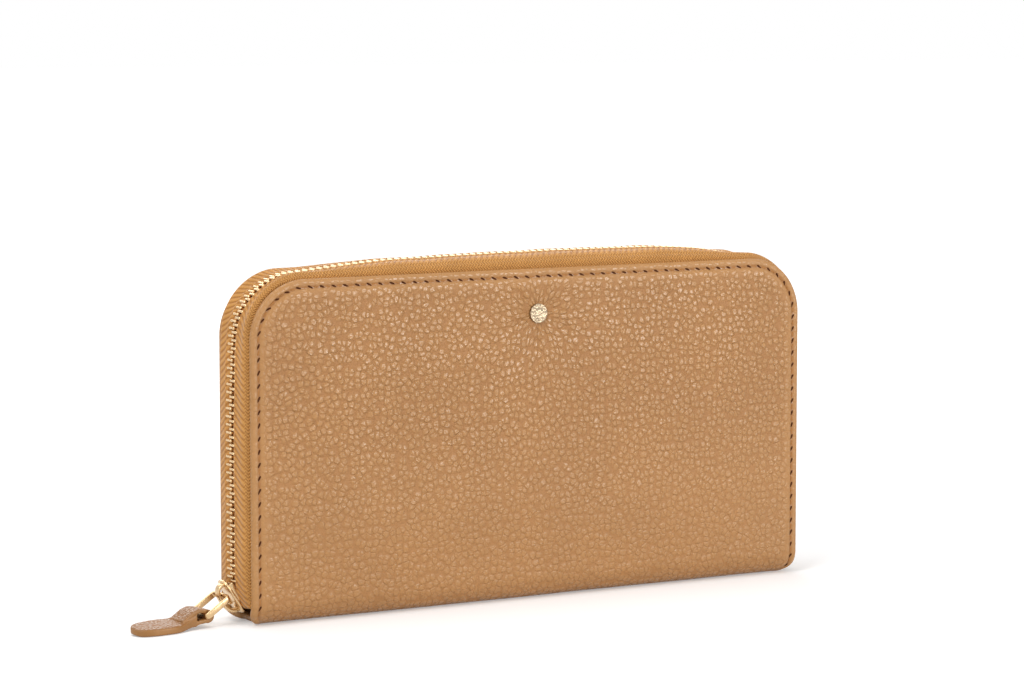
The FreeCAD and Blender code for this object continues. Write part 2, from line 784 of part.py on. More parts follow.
def make_coin_slider():
    middle = coin_slider_middle()
    half = COIN_SLIDER_LENGTH / 2
    gap = COIN_SLIDER_GAP / 2
    top = COIN_CHAIN_HEIGHT + gap + COIN_SLIDER_PLATE
    wide = rounded_rectangle(COIN_SLIDER_LENGTH, COIN_SLIDER_WIDTH, COIN_SLIDER_WIDTH / 4)
    upper = wide.extrude(Vector(0, 0, COIN_SLIDER_PLATE))
    upper.translate(Vector(middle, 0, COIN_CHAIN_HEIGHT + gap))
    narrow = rounded_rectangle(COIN_SLIDER_LENGTH, COIN_SLIDER_INNER_WIDTH,
                               COIN_SLIDER_INNER_WIDTH / 4)
    lower = narrow.extrude(Vector(0, 0, COIN_SLIDER_PLATE))
    lower.translate(Vector(middle, 0, COIN_CHAIN_HEIGHT - gap - COIN_SLIDER_PLATE))
    post_x = middle - half + 2 * COIN_POST_RADIUS
    post = Part.makeCylinder(COIN_POST_RADIUS, COIN_SLIDER_GAP,
                             Vector(post_x, 0, COIN_CHAIN_HEIGHT - gap))
    drawn = half_ring(COIN_BAIL_RADIUS, COIN_BAIL_WIRE_RADIUS, 0)
    bail = placed(drawn, Vector(middle, 0, top), Z_AXIS, Y_AXIS * -1)
    export("coin_slider", fused([upper, post, lower, bail]))

    pull_z = coin_pull_pivot_height()
    plan = rounded_rectangle(COIN_PULL_LENGTH, COIN_PULL_WIDTH, COIN_PULL_WIDTH / 2.2)
    pull = plan.extrude(Vector(0, 0, COIN_PULL_THICKNESS))
    bar = COIN_PULL_THICKNESS
    shift = COIN_PULL_LENGTH / 2 - bar / 2
    pull.translate(Vector(middle + shift, 0, pull_z - COIN_PULL_THICKNESS / 2))
    eye_start = middle + bar / 2
    eye = box((eye_start, eye_start + COIN_PULL_EYE), (-COIN_PULL_EYE / 2, COIN_PULL_EYE / 2),
              (pull_z - COIN_PULL_THICKNESS, pull_z + COIN_PULL_THICKNESS))
    export("coin_pull", pull.cut(eye))


def coin_pull_pivot_height():
    """The pull's end bar hangs in the crown of the small bail."""
    seat = COIN_CHAIN_HEIGHT + COIN_SLIDER_GAP / 2 + COIN_SLIDER_PLATE
    half_diagonal = COIN_PULL_THICKNESS / math.sqrt(2)
    return seat + COIN_BAIL_RADIUS - COIN_BAIL_WIRE_RADIUS - half_diagonal - POST_CLEARANCE


def make_gussets():
    """A sheet folded once outward between the purse wall and the cover's lining."""
    wall = PURSE_HALF_GAP + PURSE_WALL
    end = -PURSE_HALF_LENGTH
    middle = (wall + CARD_FACE) / 2
    crease = end - GUSSET_FOLD_REACH
    inner_crease = crease + GUSSET_SHEET * GUSSET_FOLD_REACH / (CARD_FACE - middle)
    face = wire_of([
        [(end + GUSSET_FLANGE, -wall)],
        [(end, -wall)],
        [(crease, -middle)],
        [(end, -CARD_FACE)],
        [(end + GUSSET_SHEET, GUSSET_SHEET - CARD_FACE)],
        [(inner_crease, -middle)],
        [(end, -wall - GUSSET_SHEET)],
        [(end + GUSSET_FLANGE, -wall - GUSSET_SHEET)],
    ])
    base = FOLD_RADIUS
    sheet = face.extrude(Vector(0, 0, HEIGHT - GUSSET_DROP - base)).translated(Vector(0, 0, base))
    export("front_gusset_left", sheet)
    export("front_gusset_right", flipped(sheet))
    export("rear_gusset_left", mirrored(sheet))
    export("rear_gusset_right", flipped(mirrored(sheet)))


os.makedirs("parts", exist_ok=True)
zip_line = zip_legs()
make_covers()
make_spine()
make_zip(zip_line)
make_slider(zip_line)
make_ring(zip_line)
make_tab(zip_line)
make_stud()
make_stitching()
make_purse()
make_coin_zip()
make_coin_slider()
make_gussets()
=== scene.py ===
"""Looks of a zip around wallet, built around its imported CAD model.

Lengths are in millimetres until a mesh is made. X runs along the wallet, the
front cover faces -Y and Z is up. A cover's sheet is laid out flat as (u, v): u
is X, and v is the way from the middle of the spine, round the fold and up the
cover. Around the covers, n is the distance outward from the zip's line.
"""
import math

import bmesh
import bpy
import numpy as np
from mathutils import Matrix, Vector


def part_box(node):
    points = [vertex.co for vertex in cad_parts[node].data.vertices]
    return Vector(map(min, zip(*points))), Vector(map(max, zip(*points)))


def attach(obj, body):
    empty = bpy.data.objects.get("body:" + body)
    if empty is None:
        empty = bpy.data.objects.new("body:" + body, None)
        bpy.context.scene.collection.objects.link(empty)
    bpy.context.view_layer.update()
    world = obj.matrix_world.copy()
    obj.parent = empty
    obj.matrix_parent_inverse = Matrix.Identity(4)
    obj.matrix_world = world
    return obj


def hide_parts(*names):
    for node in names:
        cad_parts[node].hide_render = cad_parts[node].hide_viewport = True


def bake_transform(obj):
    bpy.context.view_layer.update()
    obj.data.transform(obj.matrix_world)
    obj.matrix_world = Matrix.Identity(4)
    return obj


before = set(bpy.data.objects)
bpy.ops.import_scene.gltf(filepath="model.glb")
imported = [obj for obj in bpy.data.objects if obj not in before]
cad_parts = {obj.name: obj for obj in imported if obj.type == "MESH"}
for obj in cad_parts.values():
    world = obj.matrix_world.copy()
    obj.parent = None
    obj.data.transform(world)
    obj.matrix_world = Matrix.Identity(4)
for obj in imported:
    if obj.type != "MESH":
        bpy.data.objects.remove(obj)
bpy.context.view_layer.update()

MM = 0.001
UV_UNIT = 100.0  # millimetres to one unit of a UV map
QUARTER = math.pi / 2


def node_box(node):
    low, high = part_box(node)
    return Vector(low) / MM, Vector(high) / MM


cover_low, cover_high = node_box("front_cover_leather")
HALF_LENGTH = cover_high.x
HALF_DEPTH = -cover_low.y
HEIGHT = cover_high.z
FOLD = cover_low.z  # radius of the fold between the spine and a cover
FLAT = HALF_DEPTH - FOLD
ARC = FOLD * QUARTER
SHEET = FLAT + ARC + HEIGHT - FOLD
CORNER = 18.0
SPINE_END = 4.0  # radius of the spine's rounded ends
RIM = 1.0  # radius of the turned edge
RIM_WIDTH = 3.0
STITCH_INSET = 2.4
STITCH_PITCH = 3.9
stud_low, stud_high = node_box("stud_cap")
STUD = (stud_low + stud_high) / 2
STUD_RADIUS = (stud_high.x - stud_low.x) / 2
PULL_IN, PULL_REACH = 4.2, 12.0  # how the stud draws the grain into long pebbles


# Meshes

def face_outward(mesh, weld=False):
    """Turns every face of a mesh outward, with points that lie together made one if weld is set."""
    work = bmesh.new()
    work.from_mesh(mesh)
    if weld:
        bmesh.ops.remove_doubles(work, verts=work.verts, dist=1e-7)
    bmesh.ops.recalc_face_normals(work, faces=work.faces)
    work.to_mesh(mesh)
    work.free()


def build(name, vertices, faces, material, uv=None, closed=True, **values):
    """A smooth mesh object from vertices in millimetres, with a UV map in millimetres."""
    mesh = bpy.data.meshes.new(name)
    points = np.asarray(vertices, float) * MM
    mesh.from_pydata(points.tolist(), [], [list(map(int, f)) for f in faces])
    mesh.materials.append(material)
    if uv is not None:
        layer = mesh.uv_layers.new(name="UVMap")
        corner = np.zeros(len(mesh.loops), np.int32)
        mesh.loops.foreach_get("vertex_index", corner)
        layer.uv.foreach_set("vector", (np.asarray(uv, float)[corner] / UV_UNIT).ravel())
    for key, value in values.items():
        mesh.attributes.new(key, "FLOAT", "POINT").data.foreach_set("value", np.asarray(value, float))
    mesh.polygons.foreach_set("use_smooth", [True] * len(mesh.polygons))
    mesh.update()
    if closed:
        face_outward(mesh)
    piece = bpy.data.objects.new(name, mesh)
    bpy.context.scene.collection.objects.link(piece)
    return piece


def fit(piece, body, slot, *nodes):
    """Puts a piece on its body in place of the CAD nodes named, which it hides; slot, the name of its
    finish, is not used.
    """
    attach(piece, body)
    if nodes:
        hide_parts(*nodes)


def grid_faces(rows, columns, wrap=False, first=0):
    """Quads over rows x columns of vertices; wrap joins the last column to the first."""
    row, column = np.meshgrid(np.arange(rows - 1), np.arange(columns - (0 if wrap else 1)), indexing="ij")
    right = (column + 1) % columns
    quads = np.stack([row * columns + column, row * columns + right,
                      (row + 1) * columns + right, (row + 1) * columns + column], -1)
    return (quads.reshape(-1, 4) + first).tolist()


def tube_faces(rows, ring):
    """Quads and two end faces of rows rings of vertices."""
    ends = [list(range(ring))[::-1], list(range((rows - 1) * ring, rows * ring))]
    return grid_faces(rows, ring, wrap=True) + ends


def turned(faces):
    return [face[::-1] for face in faces]


def slab_faces(rows, columns):
    """Faces of a closed sheet: a grid, the same grid under it, and the strip round their edge."""
    count = rows * columns
    grid = grid_faces(rows, columns)
    faces = grid + [[i + count for i in face[::-1]] for face in grid]
    index = np.arange(count).reshape(rows, columns)
    border = list(index[0]) + list(index[1:, -1]) + list(index[-1, -2::-1]) + list(index[-2:0:-1, 0])
    return faces + [[b, a, a + count, b + count] for a, b in zip(border, border[1:] + border[:1])]


def swept(stations, section, closed=False):
    """Vertices and faces of a section carried along stations of (origin, across, up)."""
    vertices = [origin + across * a + up * b for origin, across, up in stations for a, b in section]
    count, ring = len(stations), len(section)
    if not closed:
        return vertices, tube_faces(count, ring)
    last = (count - 1) * ring
    join = [[last + i, last + (i + 1) % ring, (i + 1) % ring, i] for i in range(ring)]
    return vertices, grid_faces(count, ring, wrap=True) + join


def neighbours(line, index):
    """The points before and after one point of a line, or the point itself at an end."""
    return line[max(index - 1, 0)], line[min(index + 1, len(line) - 1)]


def joined(parts):
    """Several (vertices, faces) as one."""
    vertices, faces = [], []
    for more, quads in parts:
        start = len(vertices)
        vertices += list(more)
        faces += [[i + start for i in face] for face in quads]
    return vertices, faces


def rounded_section(width, height, corner, steps=3):
    """A rounded rectangle as (across, up) points."""
    points = []
    for quarter in range(4):
        cx = (width / 2 - corner) * (1 if quarter in (0, 3) else -1)
        cy = (height / 2 - corner) * (1 if quarter in (0, 1) else -1)
        for step in range(steps + 1):
            angle = quarter * QUARTER + step * QUARTER / steps
            points.append((cx + corner * math.cos(angle), cy + corner * math.sin(angle)))
    return points


def smoothstep(value, low, high):
    t = np.clip((value - low) / (high - low), 0, 1)
    return t * t * (3 - 2 * t)


def bell(value):
    """1 at zero, falling off on both sides."""
    return np.exp(-(value ** 2))


# Materials

class Nodes:
    """A node tree, added to one call at a time."""

    def __init__(self, tree):
        self.tree = tree

    def set(self, node, inputs):
        for key, value in inputs.items():
            socket = node.inputs[key.replace("_", " ") if isinstance(key, str) else key]
            if isinstance(value, bpy.types.NodeSocket):
                self.tree.links.new(value, socket)
            else:
                socket.default_value = value

    def node(self, kind, inputs, **settings):
        made = self.tree.nodes.new("ShaderNode" + kind)
        for key, value in settings.items():
            setattr(made, key, value)
        self.set(made, inputs)
        return made

    def math(self, operation, *values):
        return self.node("Math", dict(enumerate(values)), operation=operation).outputs[0]

    def times(self, first, second):
        return self.math("MULTIPLY", first, second)

    def plus(self, first, second):
        return self.math("ADD", first, second)

    def minus(self, first, second):
        return self.math("SUBTRACT", first, second)

    def most(self, first, second):
        return self.math("MAXIMUM", first, second)

    def wave(self, value, length):
        return self.math("SINE", self.times(value, 2 * math.pi / length))

    def vector(self, operation, *values):
        return self.node("VectorMath", dict(enumerate(values)), operation=operation).outputs

    def attribute(self, name):
        return self.node("Attribute", {}, attribute_name=name).outputs["Fac"]

    def flat(self):
        return self.node("UVMap", {}, uv_map="UVMap").outputs[0]

    def solid(self):
        return self.node("TexCoord", {}).outputs["Object"]

    def noise(self, vector, size, detail, flat=True):
        """Noise whose features are about size millimetres, on the flat sheet or through the solid."""
        inputs = {"Vector": vector, "Scale": (UV_UNIT if flat else 1 / MM) / size, "Detail": detail}
        return self.node("TexNoise", inputs, noise_dimensions="2D" if flat else "3D").outputs

    def cells(self, vector, size, feature="F1", flat=True, **inputs):
        """Cells of about size millimetres, on the flat sheet or through the solid."""
        inputs.update(Vector=vector, Scale=(UV_UNIT if flat else 1 / MM) / size)
        dimensions = "2D" if flat else "3D"
        return self.node("TexVoronoi", inputs, voronoi_dimensions=dimensions, feature=feature).outputs

    def ramp(self, value, low, high, to_low=0.0, to_high=1.0):
        inputs = {"Value": value, "From_Min": low, "From_Max": high, "To_Min": to_low, "To_Max": to_high}
        return self.node("MapRange", inputs, interpolation_type="SMOOTHSTEP").outputs[0]

    def mix(self, factor, first, second):
        made = self.node("Mix", {"Factor": factor}, data_type="RGBA")
        self.set(made, {6: first, 7: second})
        return made.outputs[2]

    def mottled(self, value, tone, darkest, lightest):
        """The tone, from its darkest to its lightest share as a noise value runs."""
        return self.mix(self.ramp(value, 0.3, 0.7), shade(tone, darkest), shade(tone, lightest))

    def seen(self):
        """1 for the rays that show the white background, and 0 for the rays that light the object."""
        ray = self.node("LightPath", {}).outputs
        return self.most(ray["Is Camera Ray"], self.most(ray["Is Glossy Ray"], ray["Is Transmission Ray"]))


class Surface(Nodes):
    """A new material and its nodes."""

    def __init__(self, name, **inputs):
        self.material = bpy.data.materials.new(name)
        self.material.use_nodes = True
        super().__init__(self.material.node_tree)
        self.shader = self.tree.nodes["Principled BSDF"]
        self.set(self.shader, inputs)

    def finish(self, colour, rough, height, relief):
        """Joins the nodes to the shader; relief is the bump's depth in millimetres."""
        bump = self.node("Bump", {"Height": height, "Distance": relief * MM, "Strength": 1.0}).outputs[0]
        self.set(self.shader, {"Base_Color": colour, "Roughness": rough, "Normal": bump})
        return self.material


def shade(colour, factor):
    return tuple(min(c * factor, 1.0) for c in colour[:3]) + (1.0,)


# HOLLOW also sets how dark the painted shade in the hollows and creases is.
HOLLOW = 0.42  # how far the hollows and creases lie below a pebble's top, as a share of its relief


def pebbles(s, flat, size):
    """Height of pebbles that each lean their own way, with creases between them, and a mask of painted
    shade for the hollows and creases.
    """
    near = s.cells(flat, size, Randomness=0.9)
    soft = s.cells(flat, size, "SMOOTH_F1", Randomness=0.9, Smoothness=0.3)
    edge = s.cells(flat, size, "DISTANCE_TO_EDGE", Randomness=0.9)
    crease = s.ramp(edge["Distance"], 0.0, 0.2)
    hollow = s.times(s.ramp(soft["Distance"], 0.3, 0.62), HOLLOW)
    away = s.vector("SUBTRACT", flat, near["Position"])[0]
    way = s.vector("SUBTRACT", near["Color"], (0.5, 0.5, 0.5))[0]
    lean = s.times(s.vector("DOT_PRODUCT", away, way)["Value"], 0.65 * UV_UNIT / size)
    height = s.minus(s.times(crease, s.plus(0.3, lean)), hollow)
    # The second value is painted shade: darkest in the hollows and the creases between pebbles.
    return height, s.most(hollow, s.times(s.minus(1.0, crease), HOLLOW))


def pebbled_leather(name, tone, crease_shade_tone, cell, relief):
    """Milled cowhide: pebbles with smaller ones over them, flatter where the grain value is low, with
    painted shade in the creases, hollows and stitched groove.
    """
    s = Surface(name, Specular_IOR_Level=0.5)
    flat, grain = s.flat(), s.attribute("grain")
    warped = flat
    for size, reach in ((3.4, 0.011), (1.1, 0.005)):
        bend = s.noise(flat, size, 2.0)["Color"]
        warped = s.vector("MULTIPLY_ADD", bend, (reach, reach, 0), warped)[0]
    height, hollow_shade = pebbles(s, warped, cell)
    small, small_hollow_shade = pebbles(s, warped, cell * 0.5)
    height = s.times(s.plus(height, s.times(small, 0.22)), grain)
    pores = s.noise(flat, 0.3, 2.0)["Fac"]
    height = s.plus(height, s.times(pores, 0.05))
    # Painted shade in the creases and hollows, less where the grain is flatter.
    painted_crease_shade = s.times(s.most(hollow_shade, s.times(small_hollow_shade, 0.35)), grain)
    colour = s.mottled(s.noise(flat, 26.0, 3.0)["Fac"], tone, 0.97, 1.03)
    # The crease shade tone is painted into the creases and hollows and along the stitched groove.
    colour = s.mix(s.most(painted_crease_shade, s.attribute("groove_shade")), colour, crease_shade_tone)
    rough = s.plus(s.ramp(hollow_shade, 0.0, 0.4, 0.25, 0.55), s.times(pores, 0.08))
    return s.finish(colour, rough, height, relief)


def smooth_leather(name, tone, rough, relief=0.05, shine=0.45):
    """Fine-grained leather, a painted edge or thread, in object space."""
    s = Surface(name, Specular_IOR_Level=shine)
    place = s.solid()
    pores = s.cells(place, 0.55, flat=False)["Distance"]
    wide = s.noise(place, 6.0, 3.0, flat=False)["Fac"]
    fine = s.noise(place, 1.1, 2.0, flat=False)["Fac"]
    rougher = s.ramp(fine, 0.3, 0.7, rough - 0.06, rough + 0.08)
    height = s.plus(s.times(pores, 0.5), wide)
    return s.finish(s.mottled(wide, tone, 0.9, 1.06), rougher, height, relief)


def woven(name, tone, rib, sheen=0.2, border=0.0):
    """Twill cloth: fine ribs that turn back often, and past the border wide ribs that lean one way."""
    s = Surface(name, Specular_IOR_Level=0.25, Sheen_Weight=sheen, Sheen_Roughness=0.4)
    flat = s.flat()
    parts = s.node("SeparateXYZ", {0: flat}).outputs
    along, across = s.times(parts[0], UV_UNIT), s.times(parts[1], UV_UNIT)
    zigzag = s.times(s.math("PINGPONG", across, rib * 0.8), 1.1)
    ribs = s.wave(s.plus(along, zigzag), rib)
    if border:
        wide = s.wave(s.minus(along, s.times(across, 0.65)), 2 * rib)
        share = s.ramp(across, border - 0.6, border + 0.6)
        ribs = s.plus(s.times(ribs, s.minus(1.0, share)), s.times(wide, share))
    warp = s.wave(across, 0.45)
    fuzz = s.noise(flat, 0.35, 3.0)["Fac"]
    height = s.plus(s.times(ribs, 0.6), s.plus(s.times(warp, 0.12), s.times(fuzz, 0.4)))
    dyed = s.mottled(s.noise(flat, 9.0, 3.0)["Fac"], tone, 0.96, 1.05)
    shadow = (tone[0] * 0.62, tone[1] * 0.5, tone[2] * 0.36, 1)
    colour = s.mix(s.ramp(height, -0.6, 0.5, 0.95, 0.0), dyed, shadow)
    return s.finish(colour, s.ramp(fuzz, 0.2, 0.8, 0.55, 0.8), height, 0.2)


def metal(name, tone, rough, hammered=0.0):
    """Plated metal with fine wear; hammered is the size of the dents in its face."""
    s = Surface(name, Metallic=1.0)
    place = s.solid()
    wear = s.noise(place, 1.4, 4.0, flat=False)["Fac"]
    colour = s.mix(s.ramp(wear, 0.35, 0.7), shade(tone, 0.9), tone)
    height = s.times(s.noise(place, 0.5, 3.0, flat=False)["Fac"], 0.1)
    if hammered:
        dents = s.cells(place, hammered, "SMOOTH_F1", flat=False)["Distance"]
        height = s.plus(height, s.times(dents, 3.0))
    return s.finish(colour, s.ramp(wear, 0.3, 0.7, rough, rough + 0.12), height, 0.12)


TAN = (0.432, 0.214, 0.070, 1)
# Colour of the painted shade in the leather's creases, hollows and stitched groove.
CREASE_SHADE_TONE = (0.26, 0.092, 0.019, 1)
GOLD = (0.72, 0.51, 0.28, 1)
LEATHER = pebbled_leather("pebbled leather", TAN, CREASE_SHADE_TONE, 2.05, 0.4)
PULL_LEATHER = pebbled_leather("pull leather", (0.29, 0.136, 0.040, 1), CREASE_SHADE_TONE, 1.15, 0.22)
EDGE_PAINT = smooth_leather("painted edge", (0.32, 0.146, 0.038, 1), 0.42, 0.03)
POCKET = smooth_leather("pocket leather", (0.46, 0.245, 0.11, 1), 0.5)
TAPE = woven("zip tape", (0.61, 0.298, 0.082, 1), 1.0, border=11.5)
LINING = woven("lining twill", (0.36, 0.2, 0.1, 1), 0.9, 0.1)
THREAD = smooth_leather("thread", (0.40, 0.18, 0.056, 1), 0.7, shine=0.15)
# Painted shade: a near-black brown laid on the leather where the needle holes are.
HOLE_SHADE = smooth_leather("needle hole shade", (0.080, 0.026, 0.011, 1), 1.0, shine=0.05)
BRASS = metal("zip metal", GOLD, 0.2)
STUD_METAL = metal("stud metal", (0.40, 0.312, 0.212, 1), 0.34, 0.8)
BOARD = smooth_leather("board", (0.3, 0.24, 0.17, 1), 0.8)

NODE_FINISH = {
    "board": BOARD, "interlining": BOARD, "stiffener": BOARD, "teeth": BRASS, "stop": BRASS,
    "stud": STUD_METAL, "slider": BRASS, "ring": BRASS, "coin_pull": BRASS,
}
for node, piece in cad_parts.items():
    finish = next((m for key, m in NODE_FINISH.items() if key in node), POCKET)
    piece.data.materials.clear()
    piece.data.materials.append(finish)


# Covers

PUFF = 1.35  # how far the padding lifts a cover's middle
LEDGE = 0.32  # how far the panel stands over the stitched edge
GROOVE = 0.30  # depth of the stitched groove
DIMPLE = 0.25  # how far the stud's seat lies below the CAD face


def folded(u, v, depth):
    """Points of the front sheet, depth in from its outer face."""
    turn = np.clip((v - FLAT) / FOLD, 0, QUARTER)
    radius = FOLD - depth
    y = -np.clip(v, 0, FLAT) - radius * np.sin(turn)
    z = FOLD - radius * np.cos(turn) + np.maximum(v - FLAT - ARC, 0)
    return np.stack([u, y, z], -1)


def rise(v):
    """Height along the sheet, carried on past the fold."""
    return v - FLAT - ARC + FOLD


def way_up(z):
    """Way up the sheet to a height above the fold."""
    return z - FOLD + FLAT + ARC


def half_width(v):
    """Half the sheet's length, rounded in at the ends of the spine."""
    z = FOLD - FOLD * np.cos(np.clip((v - FLAT) / FOLD, 0, QUARTER))
    short = np.clip(SPINE_END - z, 0, SPINE_END)
    return HALF_LENGTH - SPINE_END + np.sqrt(SPINE_END ** 2 - short ** 2)


def edge_distance(u, v):
    """Distance in from the sheet's edge."""
    side = half_width(v) - np.abs(u)
    top = HEIGHT - rise(v)
    inner_x, inner_z = CORNER - side, CORNER - top
    rounded = CORNER - np.hypot(np.maximum(inner_x, 0), np.maximum(inner_z, 0))
    return np.where((inner_x > 0) & (inner_z > 0), rounded, np.minimum(side, top))


def soft_noise(u, v, size, seed):
    """Smooth unevenness from a few waves in seeded directions."""
    rng = np.random.default_rng(seed)
    total = np.zeros_like(u)
    for _ in range(14):
        angle, phase = rng.uniform(0, 2 * math.pi, 2)
        wave = 2 * math.pi / (size * rng.uniform(0.7, 1.5))
        total += np.sin((u * math.cos(angle) + v * math.sin(angle)) * wave + phase)
    return total / math.sqrt(14)


def relief(u, v, seed, with_stud):
    """Height of the leather over the CAD face."""
    d, z = edge_distance(u, v), rise(v)
    height = PUFF * (smoothstep(d, 2.6, 32.0) * smoothstep(z, 4.0, 34.0))
    height += LEDGE * smoothstep(d, 2.5, 4.2) * smoothstep(z, 0, 9)
    height -= GROOVE * bell((d - STITCH_INSET) / 0.42) * smoothstep(z, -4, 2)
    height += 0.12 * smoothstep(d, 1.0, 1.5) * (1 - smoothstep(d, 1.5, 2.3))
    uneven = 0.05 * soft_noise(u, v, 34.0, seed) + 0.012 * soft_noise(u, v, 9.0, seed + 1)
    height += smoothstep(d, 1.0, 6.0) * uneven
    if with_stud:
        dx, dz = u - STUD.x, z - STUD.z
        r, angle = np.hypot(dx, dz), np.arctan2(dz, dx)
        drawn = 0.7 * bell(r / 10.0) + 0.3 * bell(r / 4.5)
        height = height * (1 - drawn) - DIMPLE * drawn
        height -= 0.4 * bell((dx + 8.0) / 8.0) * bell((dz + 9.0) / 15.0)
        folds = np.cos(6 * angle + 0.6) + 0.8 * np.cos(11 * angle + 2.1) + 0.6 * np.cos(17 * angle)
        height += 0.14 * folds * bell((r - 8.0) / 5.5) * smoothstep(r, 3.0, 5.0)
    return height


def round_corner(across, up, corner_x, corner_z, radius):
    """Moves a grid's points near its top corners onto a corner of the radius."""
    x = np.clip((np.abs(across) - corner_x) / radius, 0, 1)
    y = np.clip((up - corner_z) / radius, 0, 1)
    both = (x > 0) & (y > 0)
    moved = np.sign(across) * (corner_x + radius * x * np.sqrt(1 - y * y / 2))
    raised = up - radius * y + radius * y * np.sqrt(1 - x * x / 2)
    return np.where(both, moved, across), np.where(both, raised, up)


def laid_out(columns, rows, inset):
    """A grid over the sheet less its edge, with the top corners rounded."""
    across = np.linspace(-1, 1, columns) * (HALF_LENGTH - inset)
    u, v = np.meshgrid(across, np.linspace(0, SHEET - inset, rows))
    u, v = round_corner(u, v, HALF_LENGTH - CORNER, SHEET - CORNER, CORNER - inset)
    return u * (half_width(v) - inset) / (HALF_LENGTH - inset), v


def outward(u, v):
    """Unit direction out of the sheet's edge, in the sheet."""
    x = max(abs(u) - (HALF_LENGTH - CORNER), 0) * math.copysign(1, u)
    y = max(rise(v) - (HEIGHT - CORNER), 0)
    length = math.hypot(x, y) or 1.0
    return x / length, y / length


def cover_sheet(columns, rows, seed, with_stud):
    """Vertices, faces, flat places and the material's values of one cover's leather."""
    u, v = laid_out(columns, rows, RIM)
    height = relief(u, v, seed, with_stud)
    vertices, uvs = [folded(u, v, -height).reshape(-1, 3)], [flat_places(u, v)]
    faces = grid_faces(rows, columns)
    index = np.arange(rows * columns).reshape(rows, columns)
    rim = list(index[:, 0]) + list(index[-1, 1:-1]) + list(index[::-1, -1])
    edge = uvs[0][rim]
    way = np.array([outward(a, b) for a, b in edge])
    rim_height = height.ravel()[rim]
    profile = [(RIM * math.sin(t), RIM - RIM * math.cos(t)) for t in np.linspace(0, math.pi, 10)[1:]]
    profile.append((RIM - RIM_WIDTH, 2 * RIM))
    previous, start = np.array(rim), rows * columns
    for out, depth in profile:
        place = edge + way * out
        level = depth - rim_height * max(0.0, 1 - depth)
        vertices.append(folded(place[:, 0], place[:, 1], level))
        uvs.append(place + way * depth)
        current = np.arange(start, start + len(rim))
        faces += np.stack([previous[:-1], previous[1:], current[1:], current[:-1]], -1).tolist()
        previous, start = current, start + len(rim)
    back_u, back_v = laid_out(BACK_COLUMNS, BACK_ROWS, RIM_WIDTH - 0.4)
    faces += turned(grid_faces(BACK_ROWS, BACK_COLUMNS, first=start))
    vertices.append(folded(back_u, back_v, 1.3 * RIM).reshape(-1, 3))
    uvs.append(flat_places(back_u, back_v))
    uv = np.concatenate(uvs)
    d, z = edge_distance(uv[:, 0], uv[:, 1]), rise(uv[:, 1])
    grain = (0.3 + 0.7 * smoothstep(d, 2.4, 7.0)) * (0.68 + 0.32 * smoothstep(z, 10.0, 75.0))
    # Painted shade along the stitched groove, where the crease shade tone is mixed in.
    groove_shade = 0.6 * bell((d - STITCH_INSET) / 0.48) * smoothstep(z, -2, 3)
    if with_stud:
        away = np.stack([uv[:, 0] - STUD.x, z - STUD.z], -1)
        reach = np.hypot(away[:, 0], away[:, 1])[:, None]
        uv = uv + away / np.maximum(reach, 0.5) * PULL_IN * np.exp(-reach / PULL_REACH)
    return np.concatenate(vertices), faces, uv, {"grain": grain, "groove_shade": groove_shade}


def flat_places(u, v):
    return np.stack([u.ravel(), v.ravel()], -1)


def blend_cover(piece):
    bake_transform(piece)


COLUMNS, ROWS = ((380, 225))
BACK_COLUMNS, BACK_ROWS = 61, 41
SEEDS = {"front": 11, "rear": 23}
for side, seed in SEEDS.items():
    points, quads, uv, values = cover_sheet(COLUMNS, ROWS, seed, side == "front")
    if side == "rear":
        points = points * np.array([1, -1, 1])
        quads = turned(quads)
        uv = uv + np.array([0.0, 230.0])
    piece = build(side + "_cover", points, quads, LEATHER, uv, closed=False, **values)
    blend_cover(piece)
    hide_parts(side + "_cover_leather", side + "_interlining")
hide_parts("spine_leather")


def sheet_solid(u, v, outer, inner):
    """Vertices and faces of a closed sheet between two depths of the cover sheet."""
    top = folded(u, v, outer).reshape(-1, 3)
    under = folded(u, v, inner).reshape(-1, 3)
    return np.concatenate([top, under]), slab_faces(*u.shape)


def on_side(side, vertices, faces):
    """The mesh as it is for the front, or mirrored for the rear."""
    vertices = np.asarray(vertices, float)
    if side == "front":
        return vertices, faces
    return vertices * np.array([1, -1, 1]), turned(faces)


# Edge stitching: thread lying in the groove, and after each stitch a slanted dark slit of painted shade
# where the needle hole is

THREAD_SIZE = (2.15, 0.44, 0.36)  # length, width and height of one stitch
# Size and slant of the dark slit of painted shade at each needle hole.
HOLE_LENGTH, HOLE_WIDTH, HOLE_SLANT = 1.75, 0.55, -0.38
STITCH_START = FLAT + 0.42 * ARC
STITCH_SIDE = SHEET - CORNER - STITCH_START
STITCH_CORNER = CORNER - STITCH_INSET
STITCH_ARC = STITCH_CORNER * QUARTER
STITCH_ROW = 2 * (STITCH_SIDE + STITCH_ARC + HALF_LENGTH - CORNER)


def stitch_place(distance):
    """Sheet place and direction on the front's stitch line, from the left end of the fold."""
    if distance > STITCH_ROW / 2:
        u, v, du, dv = stitch_place(STITCH_ROW - distance)
        return -u, v, du, -dv
    if distance < STITCH_SIDE:
        v = STITCH_START + distance
        return -(half_width(v) - STITCH_INSET), v, 0.0, 1.0
    if distance < STITCH_SIDE + STITCH_ARC:
        a = (distance - STITCH_SIDE) / STITCH_CORNER
        u = STITCH_CORNER * (1 - math.cos(a)) - (HALF_LENGTH - STITCH_INSET)
        return u, SHEET - CORNER + STITCH_CORNER * math.sin(a), math.sin(a), math.cos(a)
    return distance - STITCH_SIDE - STITCH_ARC + CORNER - HALF_LENGTH, SHEET - STITCH_INSET, 1.0, 0.0


